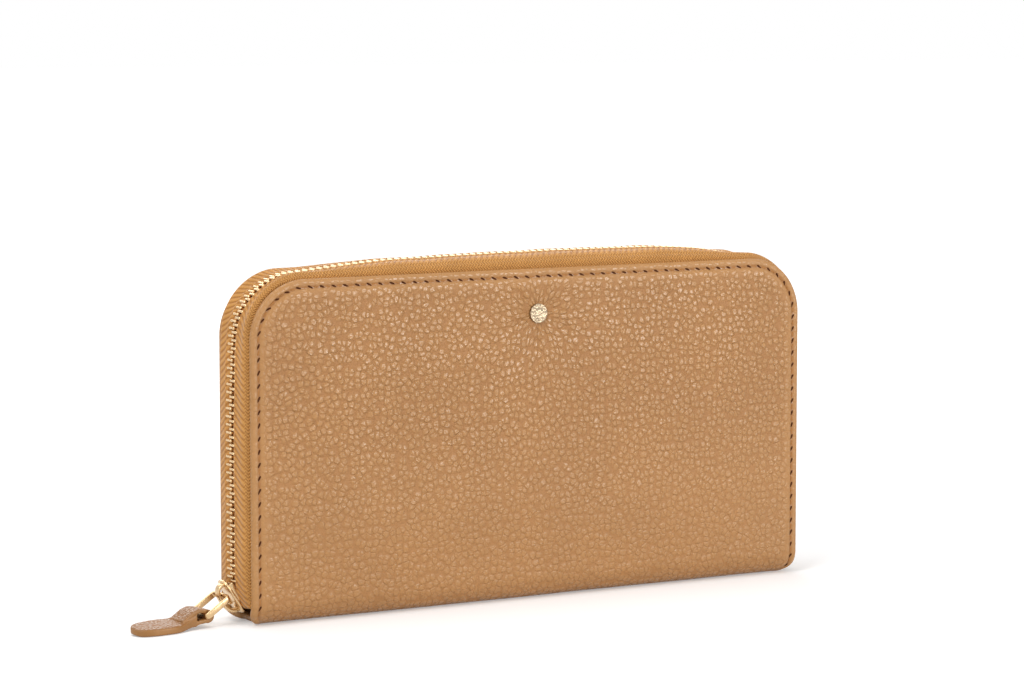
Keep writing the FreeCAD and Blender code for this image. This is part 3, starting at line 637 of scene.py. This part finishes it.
def thread_run(length, width, height, slant=0.0, rings=7, sides=10):
    """A stitch about the origin in (along, across, up): a rounded bar that dips at both ends."""
    vertices = []
    for t in np.linspace(-1, 1, rings):
        thick = math.sqrt(max(1 - abs(t) ** 3.2, 0.03))
        for k in range(sides):
            a = 2 * math.pi * k / sides
            vertices.append((t * length / 2, math.cos(a) * width / 2 * thick + slant * t,
                             math.sin(a) * height / 2 * thick - 0.5 * height * t ** 4))
    return np.array(vertices), tube_faces(rings, sides)


def needle_hole_shade(length, width, slant, sides=14):
    """A slanted dark slit about the origin in (along, across, up): painted shade that stands for the
    inside of a needle hole.
    """
    ring = []
    for scale, drop in ((1.0, 0.0), (0.7, 0.03), (0.35, 0.01)):
        for k in range(sides):
            a = 2 * math.pi * k / sides
            x, y = math.cos(a) * length / 2 * scale, math.sin(a) * width / 2 * scale
            ring.append((x * math.cos(slant) - y * math.sin(slant),
                         x * math.sin(slant) + y * math.cos(slant), drop))
    faces = turned(grid_faces(3, sides, wrap=True)) + [list(range(2 * sides, 3 * sides))]
    return np.array(ring), faces


def on_leather(shape, place, side, lift):
    """Lays a small (along, across, up) shape on a cover's leather at a stitch's place."""
    u, v, du, dv = place
    along, across, up = np.asarray(shape).T
    place_u = u + along * du - across * dv
    place_v = v + along * dv + across * du
    ground = relief(place_u, place_v, SEEDS[side], side == "front")
    return folded(place_u, place_v, -(ground + lift + up))


def edge_stitching(side):
    count = int(STITCH_ROW / STITCH_PITCH)
    first = (STITCH_ROW - (count - 1) * STITCH_PITCH) / 2
    rng = np.random.default_rng(SEEDS[side])
    threads, hole_shades = [], []
    for k in range(count):
        distance = first + k * STITCH_PITCH
        shape, faces = thread_run(*THREAD_SIZE, slant=rng.uniform(-0.14, -0.06))
        threads.append((on_leather(shape, stitch_place(distance), side, 0.08), faces))
        # A dark slit of painted shade for the needle hole between this stitch and the next.
        length = HOLE_LENGTH * rng.uniform(0.9, 1.1)
        shape, faces = needle_hole_shade(length, HOLE_WIDTH, HOLE_SLANT + rng.uniform(-0.08, 0.08))
        between = min(distance + STITCH_PITCH / 2, STITCH_ROW - 0.01)
        hole_shades.append((on_leather(shape, stitch_place(between), side, 0.14), faces))
    for name, parts, material in (("stitching", threads, THREAD), ("stitch_hole_shades", hole_shades, HOLE_SHADE)):
        points, faces = on_side(side, *joined(parts))
        piece = build(side + "_" + name, points, faces, material, points[:, [0, 2]] * 3)
        blend_cover(piece)
        if name == "stitching":
            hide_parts(side + "_edge_stitching")


edge_stitching("front")
edge_stitching("rear")


# Zip: path, tapes and teeth

ZIP_TOP = HEIGHT + 1.8
BEND_RADIUS, BEND_TURN, BEND_HEIGHT = 30.0, math.radians(20), 16.0
TOOTH_LINE = 2.2
TOOTH_PITCH = 2.4


def turning_leg(radius, turn):
    return radius, turn, (radius + TOOTH_LINE) * turn


# Radius, turn and length of each leg of the zip, from the foot of the left side
BEND, ROUND = turning_leg(BEND_RADIUS, BEND_TURN), turning_leg(CORNER, QUARTER)
SIDE, TOP = (0, 0, ZIP_TOP - CORNER - BEND_HEIGHT), (0, 0, 2 * (HALF_LENGTH - CORNER))
LEGS = [BEND, SIDE, ROUND, TOP, ROUND, SIDE, BEND]
ZIP_LENGTH = sum(length for _, _, length in LEGS)
# Distance along the zip, how far the tape sinks there, and how far the teeth dip below the tape
KNOTS, SINK, DIP = zip(
    (0, 1.0, 0.0), (60, 1.0, 0.1), (82, 1.1, 0.9), (98, 1.5, 2.4), (114, 1.6, 1.9), (130, 1.0, 0.9),
    (146, 0.35, 0.4), (193, 0.0, 0.0), (230, 0.0, 0.0), (243, 0.1, 0.1), (257, 0.6, 0.4),
    (273, 1.9, 1.8), (288, 2.1, 2.4), (304, 1.5, 0.9), (320, 1.2, 0.2), (387, 1.2, 0.0),
)


def directions(angle):
    """Outward normal and direction of travel where the zip has turned by an angle from upright."""
    return Vector((-math.cos(angle), 0, math.sin(angle))), Vector((math.sin(angle), 0, math.cos(angle)))


def zip_station(distance):
    """Point on the zip's line, outward normal and direction of travel, as vectors."""
    angle = -BEND_TURN
    normal, travel = directions(angle)
    point = Vector((BEND_RADIUS - HALF_LENGTH, 0, BEND_HEIGHT)) + normal * BEND_RADIUS
    for index, (radius, turn, length) in enumerate(LEGS):
        part = distance if index == len(LEGS) - 1 else min(distance, length)
        if radius:
            pivot = point - normal * radius
            angle += turn * part / length
            normal, travel = directions(angle)
            point = pivot + normal * radius
        else:
            point = point + travel * part
        distance -= part
        if distance <= 1e-9:
            break
    return point, normal, travel


def eased(distance, values):
    """Values along the zip, eased between the knots."""
    near = [np.interp(distance + k, KNOTS, values) for k in (-9, -6, -3, 0, 3, 6, 9)]
    return float(np.dot(near, (1, 2, 3, 4, 3, 2, 1)) / 16)


def zip_place(distance):
    """As zip_station, with the tape lower than its CAD line, and how far the teeth dip below it."""
    point, normal, travel = zip_station(distance)
    return point - normal * eased(distance, SINK), normal, travel, eased(distance, DIP)


def tape_line():
    """The tape's section as (n, y, way across), from under the rim to the teeth."""
    line = [(n, 9.25) for n in (-9.5, -6.0, -3.0, -1.6, -1.0, -0.6)]
    for angle in np.linspace(0, QUARTER, 15):
        line.append((-0.5 + 2.7 * math.sin(angle), 6.55 + 2.7 * math.cos(angle)))
    for y in np.linspace(6.3, 0.4, 24):
        cord = 0.36 * bell((y - 3.35) / 0.34) - 0.5 * smoothstep(-y, -2.4, -1.2)
        line.append((TOOTH_LINE + cord + 0.2 * math.sin((y - 0.4) / 6.0 * math.pi), y))
    ways = [0.0]
    for (n0, y0), (n1, y1) in zip(line, line[1:]):
        ways.append(ways[-1] + math.hypot(n1 - n0, y1 - y0))
    return [(n, y, way) for (n, y), way in zip(line, ways)]


def zip_tape(side):
    line = tape_line()
    outer, inner = [], []
    for i, (n, y, way) in enumerate(line):
        (n0, y0, _), (n1, y1, _) = neighbours(line, i)
        length = math.hypot(n1 - n0, y1 - y0)
        a, b = -(y1 - y0) / length * 0.2, (n1 - n0) / length * 0.2
        outer.append((n + a, y + b, way))
        inner.append((n - a, y - b, way))
    ring = outer + inner[::-1]
    count = 470
    vertices, uvs = [], []
    for s in np.linspace(0, ZIP_LENGTH, count):
        point, normal, _, dip = zip_place(s)
        wave = 0.07 * math.sin(s / 5.3) + 0.05 * math.sin(s / 2.9 + 1)
        for n, y, way in ring:
            slack = smoothstep(way, 9.5, 12.5)
            sunk = dip * (1 - smoothstep(y, 4.5, 9.4))
            place = point + normal * float(n + wave * slack - sunk)
            vertices.append((place.x, -y, place.z))
            uvs.append((s, way))
    points, faces = on_side(side, vertices, turned(tube_faces(count, len(ring))))
    piece = build(side + "_tape", points, faces, TAPE, uvs)
    fit(piece, side + "_half", "zip_tape", side + "_zip_tape")


def tooth_shape():
    """One tooth in (along, n, y): jaws on the tape's edge, a waist and a rounded head."""
    stations = [(-2.75, 0.55, 0.62), (-2.62, 0.85, 0.9), (-2.3, 1.0, 1.0), (-1.5, 0.95, 1.0),
                (-0.95, 0.8, 0.92), (-0.5, 0.85, 0.9), (0.0, 1.05, 1.0), (0.42, 0.95, 0.85),
                (0.6, 0.6, 0.55)]
    section = rounded_section(0.84, 1.6, 0.32)
    vertices = [(a * w, b * h, y) for y, w, h in stations for a, b in section]
    return vertices, tube_faces(len(stations), len(section))


def zip_teeth(side):
    shape, faces = tooth_shape()
    sign = 1 if side == "front" else -1
    first = 0.4 * BEND[2] + TOOTH_PITCH * (0.5 if side == "front" else 1.0)
    last = ZIP_LENGTH - 2.6 - TOOTH_PITCH
    parts = []
    for distance in np.arange(first, last, TOOTH_PITCH):
        point, normal, travel, dip = zip_place(distance)
        base = point + normal * (TOOTH_LINE - dip)
        rows = [base + travel * a + normal * b + Vector((0, sign * y, 0)) for a, b, y in shape]
        parts.append((rows, faces if side == "front" else turned(faces)))
    piece = build(side + "_teeth", *joined(parts), BRASS)
    fit(piece, side + "_half", "zip_metal", side + "_zip_teeth", side + "_zip_teeth_left")


for side in SEEDS:
    zip_tape(side)
    zip_teeth(side)


# Slider, its loop, ring and pull

SLIDER_TILT = math.radians(32)
SLIDER_SHIFT = Vector((1.9, 0, 0.3))  # from the CAD slider's middle to where the photograph has it
RING_OUT = 4.122  # the ring's pivot in front of the CAD slider's middle
RING_SPAN = 8.0  # from the ring's pivot to the pull's
TAB_HINGE = 4.0  # height of the pull's pivot
LOOP_HALF, LOOP_REACH = 4.6, 2.95
PLATE = [(0, 5.9), (-2.6, 5.2), (-3.3, 3.2), (-3.5, 0.5), (-4.1, -3.0), (-3.4, -5.2),
         (0, -5.9), (3.4, -5.2), (4.1, -3.0), (3.5, 0.5), (3.3, 3.2), (2.6, 5.2)]
FLANGE = [(3.05, 4.0), (3.35, 0.5), (3.85, -3.0), (3.3, -4.6),
          (2.75, -4.4), (3.2, -2.8), (2.75, 0.6), (2.5, 3.9)]

slider_point, slider_normal, _ = zip_station(0.4 * BEND[2])
cad_slider = slider_point + slider_normal * (TOOTH_LINE + 0.3)
slider_middle = cad_slider + SLIDER_SHIFT
slider_out = Vector((-math.cos(SLIDER_TILT), 0, -math.sin(SLIDER_TILT)))
slider_up = Vector((-math.sin(SLIDER_TILT), 0, math.cos(SLIDER_TILT)))


def floor_way(degrees):
    """Direction over the floor away from the wallet, turned toward the front, and the one across it."""
    turn = math.radians(degrees)
    way = Vector((-math.cos(turn), -math.sin(turn), 0))
    return way, Vector((-way.y, way.x, 0))


ring_way, ring_across = floor_way(4)
tab_way, tab_across = floor_way(10)
ring_pivot = cad_slider + slider_normal * RING_OUT
ring_drop = ring_pivot.z - TAB_HINGE
tab_pivot = ring_pivot + ring_way * math.sqrt(RING_SPAN ** 2 - ring_drop ** 2) - Vector((0, 0, ring_drop))


def rounded_plate(outline, thickness, bevel):
    """A plate with rounded edges from an outline of (across, along) points; up from 0."""
    mesh = bmesh.new()
    face = mesh.faces.new([mesh.verts.new((a, b, 0)) for a, b in outline])
    grown = bmesh.ops.extrude_face_region(mesh, geom=[face])
    for vertex in (g for g in grown["geom"] if isinstance(g, bmesh.types.BMVert)):
        vertex.co.z += thickness
    bmesh.ops.recalc_face_normals(mesh, faces=mesh.faces)
    sharp = [e for e in mesh.edges if e.calc_face_angle(0) > 0.9]
    bmesh.ops.bevel(mesh, geom=sharp, offset=bevel, segments=3, profile=0.5, affect="EDGES")
    mesh.verts.index_update()
    vertices = [v.co.copy() for v in mesh.verts]
    faces = [[v.index for v in f.verts] for f in mesh.faces]
    mesh.free()
    return vertices, faces


def curve_through(points, per):
    """A closed smooth outline through points."""
    made, count = [], len(points)
    for i in range(count):
        a, b, c, d = (np.array(points[(i + k) % count], float) for k in (-1, 0, 1, 2))
        for t in np.arange(per) / per:
            made.append(0.5 * (2 * b + (c - a) * t + (2 * a - 5 * b + 4 * c - d) * t * t
                               + (3 * b - a - 3 * c + d) * t ** 3))
    return [tuple(m) for m in made]


def slider_plate(outline, thickness, bevel, out):
    """A plate lying in the slider's plane, out from its middle."""
    vertices, faces = rounded_plate(outline, thickness, bevel)
    placed = [slider_middle + Vector((0, v[0], 0)) + slider_up * v[1] + slider_out * (v[2] + out)
              for v in vertices]
    return placed, faces


def make_slider():
    shield = curve_through(PLATE, 5)
    parts = [slider_plate(shield, 0.9, 0.28, 1.9), slider_plate(shield, 0.9, 0.28, -2.8)]
    for sign in (-1, 1):
        flange = curve_through([(sign * x, y) for x, y in FLANGE], 3)
        parts.append(slider_plate(flange, 1.5, 0.15, 0.55))
    turn = np.linspace(0, 2 * math.pi, 16, endpoint=False)
    post = [(1.1 * math.cos(a) * 1.3, -(3.3 + 1.1 * math.sin(a))) for a in turn]
    parts.append(slider_plate(post, 4.0, 0.1, -2.0))
    fit(build("slider", *joined(parts), BRASS), "zip_slider", "zip_metal", "slider_body")


def make_slider_loop():
    stations = []
    for angle in np.linspace(-0.1, math.pi + 0.1, 34):
        c, d = math.cos(angle), math.sin(angle)
        along = LOOP_HALF * math.copysign(abs(c) ** 0.8, c) + 0.5 * max(d, 0)
        reach = LOOP_REACH * math.copysign(abs(d) ** 0.85, d)
        flare = 1.0 + 0.35 * abs(c) ** 3
        radial = (slider_up * c / LOOP_HALF + slider_out * d / LOOP_REACH).normalized()
        place = slider_middle + slider_out * (2.75 + reach) + slider_up * along
        stations.append((place, Vector((0, flare, 0)), radial))
    loop = build("slider_loop", *swept(stations, rounded_section(2.1, 1.1, 0.45, 4)), BRASS)
    fit(loop, "zip_slider", "zip_metal", "slider_bail")


def make_ring():
    half_long, half_wide, bend = 4.5, 4.65, 1.1
    slope = (tab_pivot - ring_pivot).normalized()
    up = slope.cross(ring_across)
    middle = (ring_pivot + tab_pivot) / 2 - slope * 0.6 - up * 0.4
    stations = []
    for quarter in range(4):
        cx = (half_long - bend) * (1 if quarter in (0, 3) else -1)
        cy = (half_wide - bend) * (1 if quarter in (0, 1) else -1)
        for step in range(8):
            a = (quarter + step / 7) * QUARTER
            out = slope * math.cos(a) + ring_across * math.sin(a)
            stations.append((middle + slope * cx + ring_across * cy + out * bend, out, up))
    ring = build("pull_loop", *swept(stations, rounded_section(0.85, 1.9, 0.3), closed=True), BRASS)
    fit(ring, "ring", "zip_metal", "pull_ring")


make_slider()
make_slider_loop()
make_ring()


TAB_LENGTH, TAB_TIP, TAB_LEAN = 23.3, 6.0, 0.08
TAB_THICK = 2.3
STRAP = 1.35  # thickness of the leather where it turns round the ring


def tab_half_width(reach):
    """Half the pull's width at a distance from its pivot."""
    body = 3.6 + 1.8 * smoothstep(reach, 3.5, 12.5) - 0.5 * smoothstep(reach, 13.0, 20.0)
    tip = max(reach - TAB_LENGTH + TAB_TIP, 0) / TAB_TIP
    return float(body * math.sqrt(max(1 - tip ** 2.2, 0.006)))


def tab_place(reach, height):
    return tab_pivot + tab_way * float(reach) + Vector((0, 0, height - TAB_HINGE))


def tab_body():
    """Stations of the pull's two glued layers, thicker by the ring and round at the tip."""
    stations = []
    reaches = np.linspace(3.0, TAB_LENGTH - 2.4, 24), np.linspace(TAB_LENGTH - 2.1, TAB_LENGTH, 9)
    for reach in np.concatenate(reaches):
        width = tab_half_width(reach)
        lift = 0.75 * (1 - smoothstep(reach, 4.0, 10.0))
        thick = TAB_THICK + 1.7 * bell((reach - 2.6) / 2.9)
        tip = math.sqrt(max(1 - max(reach - TAB_LENGTH + 1.6, 0) ** 2 / 3.0, 0.2))
        place = tab_place(reach, lift + thick / 2 + TAB_LEAN * width)
        across = (tab_across - Vector((0, 0, TAB_LEAN))) * (2 * width)
        stations.append((place, across, Vector((0, 0, thick * tip))))
    return stations


def tab_strap():
    """Stations of the strap that turns round the ring."""
    turn = [(1.5 * math.cos(a) - 1.0, TAB_HINGE - 0.5 + 1.35 * math.sin(a))
            for a in np.linspace(-1.2, -math.pi * 1.5, 18)]
    loop = [(7.2, 1.5), (5.4, 1.55), (3.4, 1.7), (1.9, 2.1)] + turn
    loop += [(0.6, 5.3), (2.2, 5.5), (4.2, 4.9), (6.0, 3.8), (8.0, 2.6)]
    stations = []
    for i, (reach, height) in enumerate(loop):
        before, after = neighbours(loop, i)
        way = (tab_way * (after[0] - before[0]) + Vector((0, 0, after[1] - before[1]))).normalized()
        across = tab_across * 2 * min(tab_half_width(reach), 3.6)
        stations.append((tab_place(reach, height), across, way.cross(tab_across) * STRAP))
    return stations


def remeshed(name, parts):
    """Points in millimetres, faces and normals of parts remeshed into one soft form."""
    rough = build(name, *joined(parts), PULL_LEATHER)
    remesh = rough.modifiers.new("remesh", "REMESH")
    remesh.mode, remesh.voxel_size = "VOXEL", 0.2 * MM
    calm = rough.modifiers.new("calm", "SMOOTH")
    calm.factor, calm.iterations = 0.5, 3
    mesh = bpy.data.meshes.new_from_object(rough.evaluated_get(bpy.context.evaluated_depsgraph_get()))
    bpy.data.objects.remove(rough)
    points = np.array([v.co for v in mesh.vertices]) / MM
    normals = np.array([v.normal for v in mesh.vertices])
    faces = [list(p.vertices) for p in mesh.polygons]
    bpy.data.meshes.remove(mesh)
    return points, faces, normals


def make_tab():
    """Two layers of leather folded round the ring and glued, with painted edges."""
    section = []
    for a in np.linspace(0, 2 * math.pi, 48, endpoint=False):
        c, d = math.cos(a), math.sin(a)
        section.append((0.5 * math.copysign(abs(c) ** 0.22, c), 0.5 * math.copysign(abs(d) ** 0.3, d)))
    points, faces, normals = remeshed("pull", [swept(tab_body(), section), swept(tab_strap(), section)])
    points[:, 2] = np.maximum(points[:, 2], 0.0)
    way, across, pivot = np.array(tab_way), np.array(tab_across), np.array(tab_pivot)
    place = points - pivot
    level = smoothstep(np.abs(normals[:, 2]), 0.35, 0.7)
    uv = np.stack([place @ way + 400, place @ across + np.where(normals[:, 2] > 0, 0, 30)], -1)
    piece = build("pull", points, faces, PULL_LEATHER, uv, grain=0.9 * level)
    piece.data.materials.append(EDGE_PAINT)
    facing = np.array([p.normal for p in piece.data.polygons])
    centre = np.array([p.center for p in piece.data.polygons]) / MM - pivot
    rim = (np.abs(facing @ across) > 0.45) | (centre @ way > 19)
    painted = rim & (np.abs(facing[:, 2]) < 0.55)
    piece.data.polygons.foreach_set("material_index", painted.astype(np.int32))
    fit(piece, "tab", "grain_leather", "pull_tab")


make_tab()


def make_stud():
    """A hammered cap sunk in the dimple: a domed face, and an edge that turns down."""
    rng = np.random.default_rng(5)
    dents = rng.uniform(-1, 1, (60, 2)) * STUD_RADIUS
    rings, sides, face = 26, 56, 0.72  # face is the share of the rings on the domed face
    vertices = []
    for t in np.linspace(0, 1, rings):
        if t < face:
            r = STUD_RADIUS * 0.93 * t / face
            h = 0.62 - 0.08 * (r / STUD_RADIUS) ** 2
        else:
            down = (t - face) / (1 - face)
            turn = min(down * 2, 1) * QUARTER
            r = STUD_RADIUS * (0.93 + 0.07 * math.sin(turn))
            h = 0.54 - 0.12 * (1 - math.cos(turn)) - 1.2 * max(down - 0.5, 0)
        for k in range(sides):
            angle = 2 * math.pi * k / sides
            x, z = r * math.cos(angle), r * math.sin(angle)
            near = np.sort(np.hypot(dents[:, 0] - x, dents[:, 1] - z))[:2]
            dent = 0.10 * min(near[1] - near[0], 0.5) if t < face else 0.0
            vertices.append((STUD.x + x, -HALF_DEPTH - h + dent, STUD.z + z))
    piece = build("stud", vertices, grid_faces(rings, sides, wrap=True), STUD_METAL)
    face_outward(piece.data, weld=True)
    fit(piece, "front_half", "stud_metal", "stud_cap")


make_stud()


# Inside: linings, card pockets, coin purse and gussets

def lining(side):
    u, v = laid_out(121, 91, 1.0)
    z = rise(v)
    narrow = 86 / (HALF_LENGTH - 1)
    u = u * (narrow + (1 - narrow) * smoothstep(z, FOLD - 0.5, FOLD + 2.5))
    depth = 2.5 + 0.5 * smoothstep(z, FOLD - 3, FOLD + 1) + 0.06 * soft_noise(u, v, 14.0, 31)
    points, faces = on_side(side, *sheet_solid(u, v, depth - 0.4, depth))
    uv = np.concatenate([flat_places(u, v)] * 2)
    piece = build(side + "_lining_cloth", points, faces, LINING, uv)
    blend_cover(piece)
    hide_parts(side + "_lining", *(["spine_lining"] if side == "front" else []))


def card_pockets(side):
    for index in range(4):
        node = "%s_card_pocket_%d" % (side, index + 1)
        low, high = node_box(node)
        outer = HALF_DEPTH - max(abs(low.y), abs(high.y))
        u, z = np.meshgrid(np.linspace(low.x, high.x, 79), np.linspace(low.z, high.z, 60))
        seam = bell(u / 0.7) + bell((z - high.z + 2.2) / 0.35)
        swell = 0.12 * bell((z - high.z) / 1.1) + 0.10 * soft_noise(u, z, 24.0, 40 + index) - 0.1 * seam
        inner = np.maximum(outer + 0.35 + swell, outer + 0.12)
        points, faces = on_side(side, *sheet_solid(u, way_up(z), np.full_like(u, outer), inner))
        uv = np.concatenate([flat_places(u, way_up(z) + 130 * index)] * 2)
        piece = build("%s_pocket_%d" % (side, index + 1), points, faces, POCKET, uv)
        fit(piece, side + "_half", "pocket_leather", node)


def pocket_stitches(side):
    """A row under each pocket's edge, and columns where the pockets show."""
    shape, faces = thread_run(2.2, 0.42, 0.3)
    parts = []
    for index, top in enumerate((86.0, 76.0, 66.0, 56.0)):
        depth = HALF_DEPTH - 8.5 + 0.35 * (index + 1) + 0.02 + shape[:, 2]
        for x in np.arange(-76.5, 76.6, 3.0):
            parts.append((folded(x + shape[:, 0], way_up(top - 2.2 + shape[:, 1]), depth), faces))
        column = np.arange(top - 8.5, top - 3.5, 3.0) if index < 3 else np.arange(top - 4.5, 10, -3.0)
        for x in (-76.8, 0.0, 76.8):
            for z in column:
                parts.append((folded(x + shape[:, 1], way_up(z + shape[:, 0]), depth), faces))
    points, faces = on_side(side, *joined(parts))
    piece = build(side + "_pocket_stitches", points, faces, THREAD, np.asarray(points)[:, [0, 2]] * 3)
    fit(piece, side + "_half", "thread")


def purse_wall(side):
    low, high = node_box("purse_front_wall")
    u, z = np.meshgrid(np.linspace(low.x, high.x, 101), np.linspace(low.z, high.z, 55))
    corner = 5.0
    u, z = round_corner(u, z, high.x - corner, high.z - corner, corner)
    along, up = (u - low.x) / (high.x - low.x), (z - low.z) / (high.z - low.z)
    spread = np.sin(along * math.pi) * np.sin(np.clip(up, 0, 1) * math.pi)
    bulge = np.maximum(0.9 * spread + 0.08 * soft_noise(u, z, 18.0, 51), 0)
    outer = 2.7 + bulge - 0.12 * bell((z - high.z + 2.4) / 0.4)
    sheets = [np.stack([u, -y, z], -1).reshape(-1, 3) for y in (outer, outer - 0.45)]
    points, faces = on_side(side, np.concatenate(sheets), slab_faces(*u.shape))
    uv = np.concatenate([flat_places(u, z)] * 2)
    piece = build("purse_%s_panel" % side, points, faces, LEATHER, uv, grain=np.full(len(uv), 0.18))
    fit(piece, "core", "pocket_leather", "purse_%s_wall" % side)


def purse_gusset():
    """One strip along the purse's base and up both ends."""
    low, high = node_box("purse_base")
    half, floor, top, bend = high.x - 0.3, low.z + 0.3, node_box("purse_end_left")[1].z, 4.0
    path = [(-half, top - (top - floor - bend) * t) for t in np.linspace(0, 1, 24)]
    path += [(-half + bend - bend * math.cos(a), floor + bend - bend * math.sin(a))
             for a in np.linspace(0.15, QUARTER, 8)]
    path += [(x, floor) for x in np.linspace(-half + bend + 3, 0, 20)]
    path += [(-x, z) for x, z in path[-2::-1]]
    section = [(a, 0.12 * math.cos(a / 2.2 * math.pi) - 0.12) for a in np.linspace(-2.2, 2.2, 11)]
    section += [(a, b - 0.4) for a, b in section[::-1]]
    stations = []
    for i, (x, z) in enumerate(path):
        (x0, z0), (x1, z1) = neighbours(path, i)
        way = Vector((x1 - x0, 0, z1 - z0)).normalized()
        stations.append((Vector((x, 0, z)), Vector((0, 1, 0)), Vector((-way.z, 0, way.x))))
    piece = build("purse_gusset", *swept(stations, section), POCKET)
    fit(piece, "core", "pocket_leather", "purse_base", "purse_end_left", "purse_end_right")


def coin_tape(side):
    low, high = node_box("coin_front_tape")
    line = [(-1.9, low.z)] + [(-2.0, z) for z in np.linspace(low.z + 0.5, high.z - 0.7, 8)]
    line += [(-2.0 + 0.5 * (1 - math.cos(a)), high.z - 0.7 + 0.5 * math.sin(a))
             for a in np.linspace(0.3, QUARTER, 5)]
    line += [(y, high.z - 0.2) for y in np.linspace(-1.35, -0.9, 4)]

    def face_of(y, z, half):
        """A point of the line moved by half the tape's thickness, onto one of its faces."""
        return y - half if z < high.z - 0.8 else y, z + half if z > high.z - 0.5 else z

    ring = [face_of(y, z, 0.17) for y, z in line] + [face_of(y, z, -0.17) for y, z in line[::-1]]
    stops = np.linspace(-high.x, high.x, 90)
    vertices = [(x, y, z) for x in stops for y, z in ring]
    uvs = [(x, min(i, len(ring) - i) * 0.7) for x in stops for i in range(len(ring))]
    points, faces = on_side(side, vertices, tube_faces(len(stops), len(ring)))
    piece = build("coin_%s_cloth" % side, points, faces, TAPE, uvs)
    fit(piece, "core", "zip_tape", "coin_%s_tape" % side)


def gusset(side, end):
    """A folded cloth between the purse and the cover."""
    node = "%s_gusset_%s" % (side, end)
    low, high = node_box(node)
    near, far, reach, purse_end = 2.95, 7.1 - 0.25, 10.0, 80.0
    middle = (near + far) / 2
    path = [(purse_end - 5 + t * 5, near) for t in np.linspace(0, 1, 6)]
    path += [(purse_end + reach * math.sin(t * QUARTER) ** 1.2, near + (middle - near) * t ** 1.5)
             for t in np.linspace(0.08, 1, 12)]
    path += [(x, 2 * middle - y) for x, y in path[-2::-1]][:15]
    rows = np.linspace(low.z, high.z, 40)
    shrink = np.minimum(1 - 0.02 * np.sin(rows / 5.0), 1.0)[:, None]
    sheets = []
    for half in (0.14, -0.14):
        line = []
        for i, (x, y) in enumerate(path):
            (x0, y0), (x1, y1) = neighbours(path, i)
            length = math.hypot(x1 - x0, y1 - y0) or 1
            line.append((x - (y1 - y0) / length * half, y + (x1 - x0) / length * half))
        x, y = np.array(line).T
        ys, zs = np.meshgrid(-y, rows)
        sheets.append(np.stack([purse_end + (x - purse_end) * shrink, ys, zs], -1).reshape(-1, 3))
    points, faces = np.concatenate(sheets), slab_faces(len(rows), len(path))
    if end == "left":
        points, faces = points * np.array([-1, 1, 1]), turned(faces)
    points, faces = on_side(side, points, faces)
    uv = np.concatenate([flat_places(*np.meshgrid(np.arange(len(path)) * 1.4, rows))] * 2)
    piece = build("%s_gusset_cloth_%s" % (side, end), points, faces, LINING, uv)
    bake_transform(piece)
    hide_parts(node)


for side in SEEDS:
    lining(side)
    card_pockets(side)
    pocket_stitches(side)
    purse_wall(side)
    coin_tape(side)
    gusset(side, "left")
    gusset(side, "right")
purse_gusset()


# Camera and studio

def stand(name, data, place, target):
    """Puts a camera or light at a place, in metres, looking at a target."""
    made = bpy.data.objects.new(name, data)
    made.location = place
    made.rotation_mode = "QUATERNION"
    made.rotation_quaternion = (Vector(target) - Vector(place)).to_track_quat("-Z", "Y")
    bpy.context.scene.collection.objects.link(made)
    return made


def area_light(name, place, target_height, size, power):
    data = bpy.data.lights.new(name, "AREA")
    data.shape = "RECTANGLE"
    data.size, data.size_y = size
    data.energy = power
    stand(name, data, place, (0, 0, target_height))


camera_data = bpy.data.cameras.new("camera")
camera_data.lens = 114.0
camera_data.sensor_width = 36.0
bpy.context.scene.camera = stand("camera", camera_data, Vector((-502.6, -868.2, 181.4)) * MM,
                                 Vector((-2.7, 0, 79.6)) * MM)
area_light("softbox", (0.56, -1.05, 0.27), 0.06, (0.5, 0.32), 7.0)
area_light("left", (-0.95, -0.5, 0.85), 0.05, (0.6, 0.6), 8.3)
area_light("top", (-0.1, 0.1, 1.2), 0.05, (0.8, 0.6), 5.0)
area_light("back", (0.2, 0.9, 0.6), 0.05, (0.9, 0.6), 4.0)

world = bpy.data.worlds.new("world")
bpy.context.scene.world = world
world.use_nodes = True
sky = Nodes(world.node_tree)
strength = sky.ramp(sky.seen(), 0.0, 1.0, 0.34, 1.0)
sky.set(world.node_tree.nodes["Background"], {"Color": (1, 1, 1, 1), "Strength": strength})


def make_floor():
    """A pale floor that takes the object's shadow, and glows where a ray looks at it."""
    s = Surface("floor")
    s.tree.nodes.remove(s.shader)
    speckle = s.noise(s.solid(), 30.0, 3.0, flat=False)["Fac"]
    colour = s.mix(speckle, (0.81, 0.81, 0.81, 1), (0.83, 0.83, 0.83, 1))
    diffuse = s.node("BsdfDiffuse", {"Color": colour})
    away = s.vector("LENGTH", s.solid())["Value"]
    glow = s.node("Emission", {"Strength": s.times(s.seen(), s.ramp(away, 0.25, 1.3, 0.27, 0.75))})
    both = s.node("AddShader", {0: diffuse.outputs[0], 1: glow.outputs[0]})
    s.set(s.tree.nodes["Material Output"], {"Surface": both.outputs[0]})
    reach = 9000.0
    corners = [(-reach, -reach, 0), (reach, -reach, 0), (reach, reach, 0), (-reach, reach, 0)]
    build("floor", corners, [[0, 1, 2, 3]], s.material)


make_floor()
bpy.context.scene.view_settings.view_transform = "Standard"
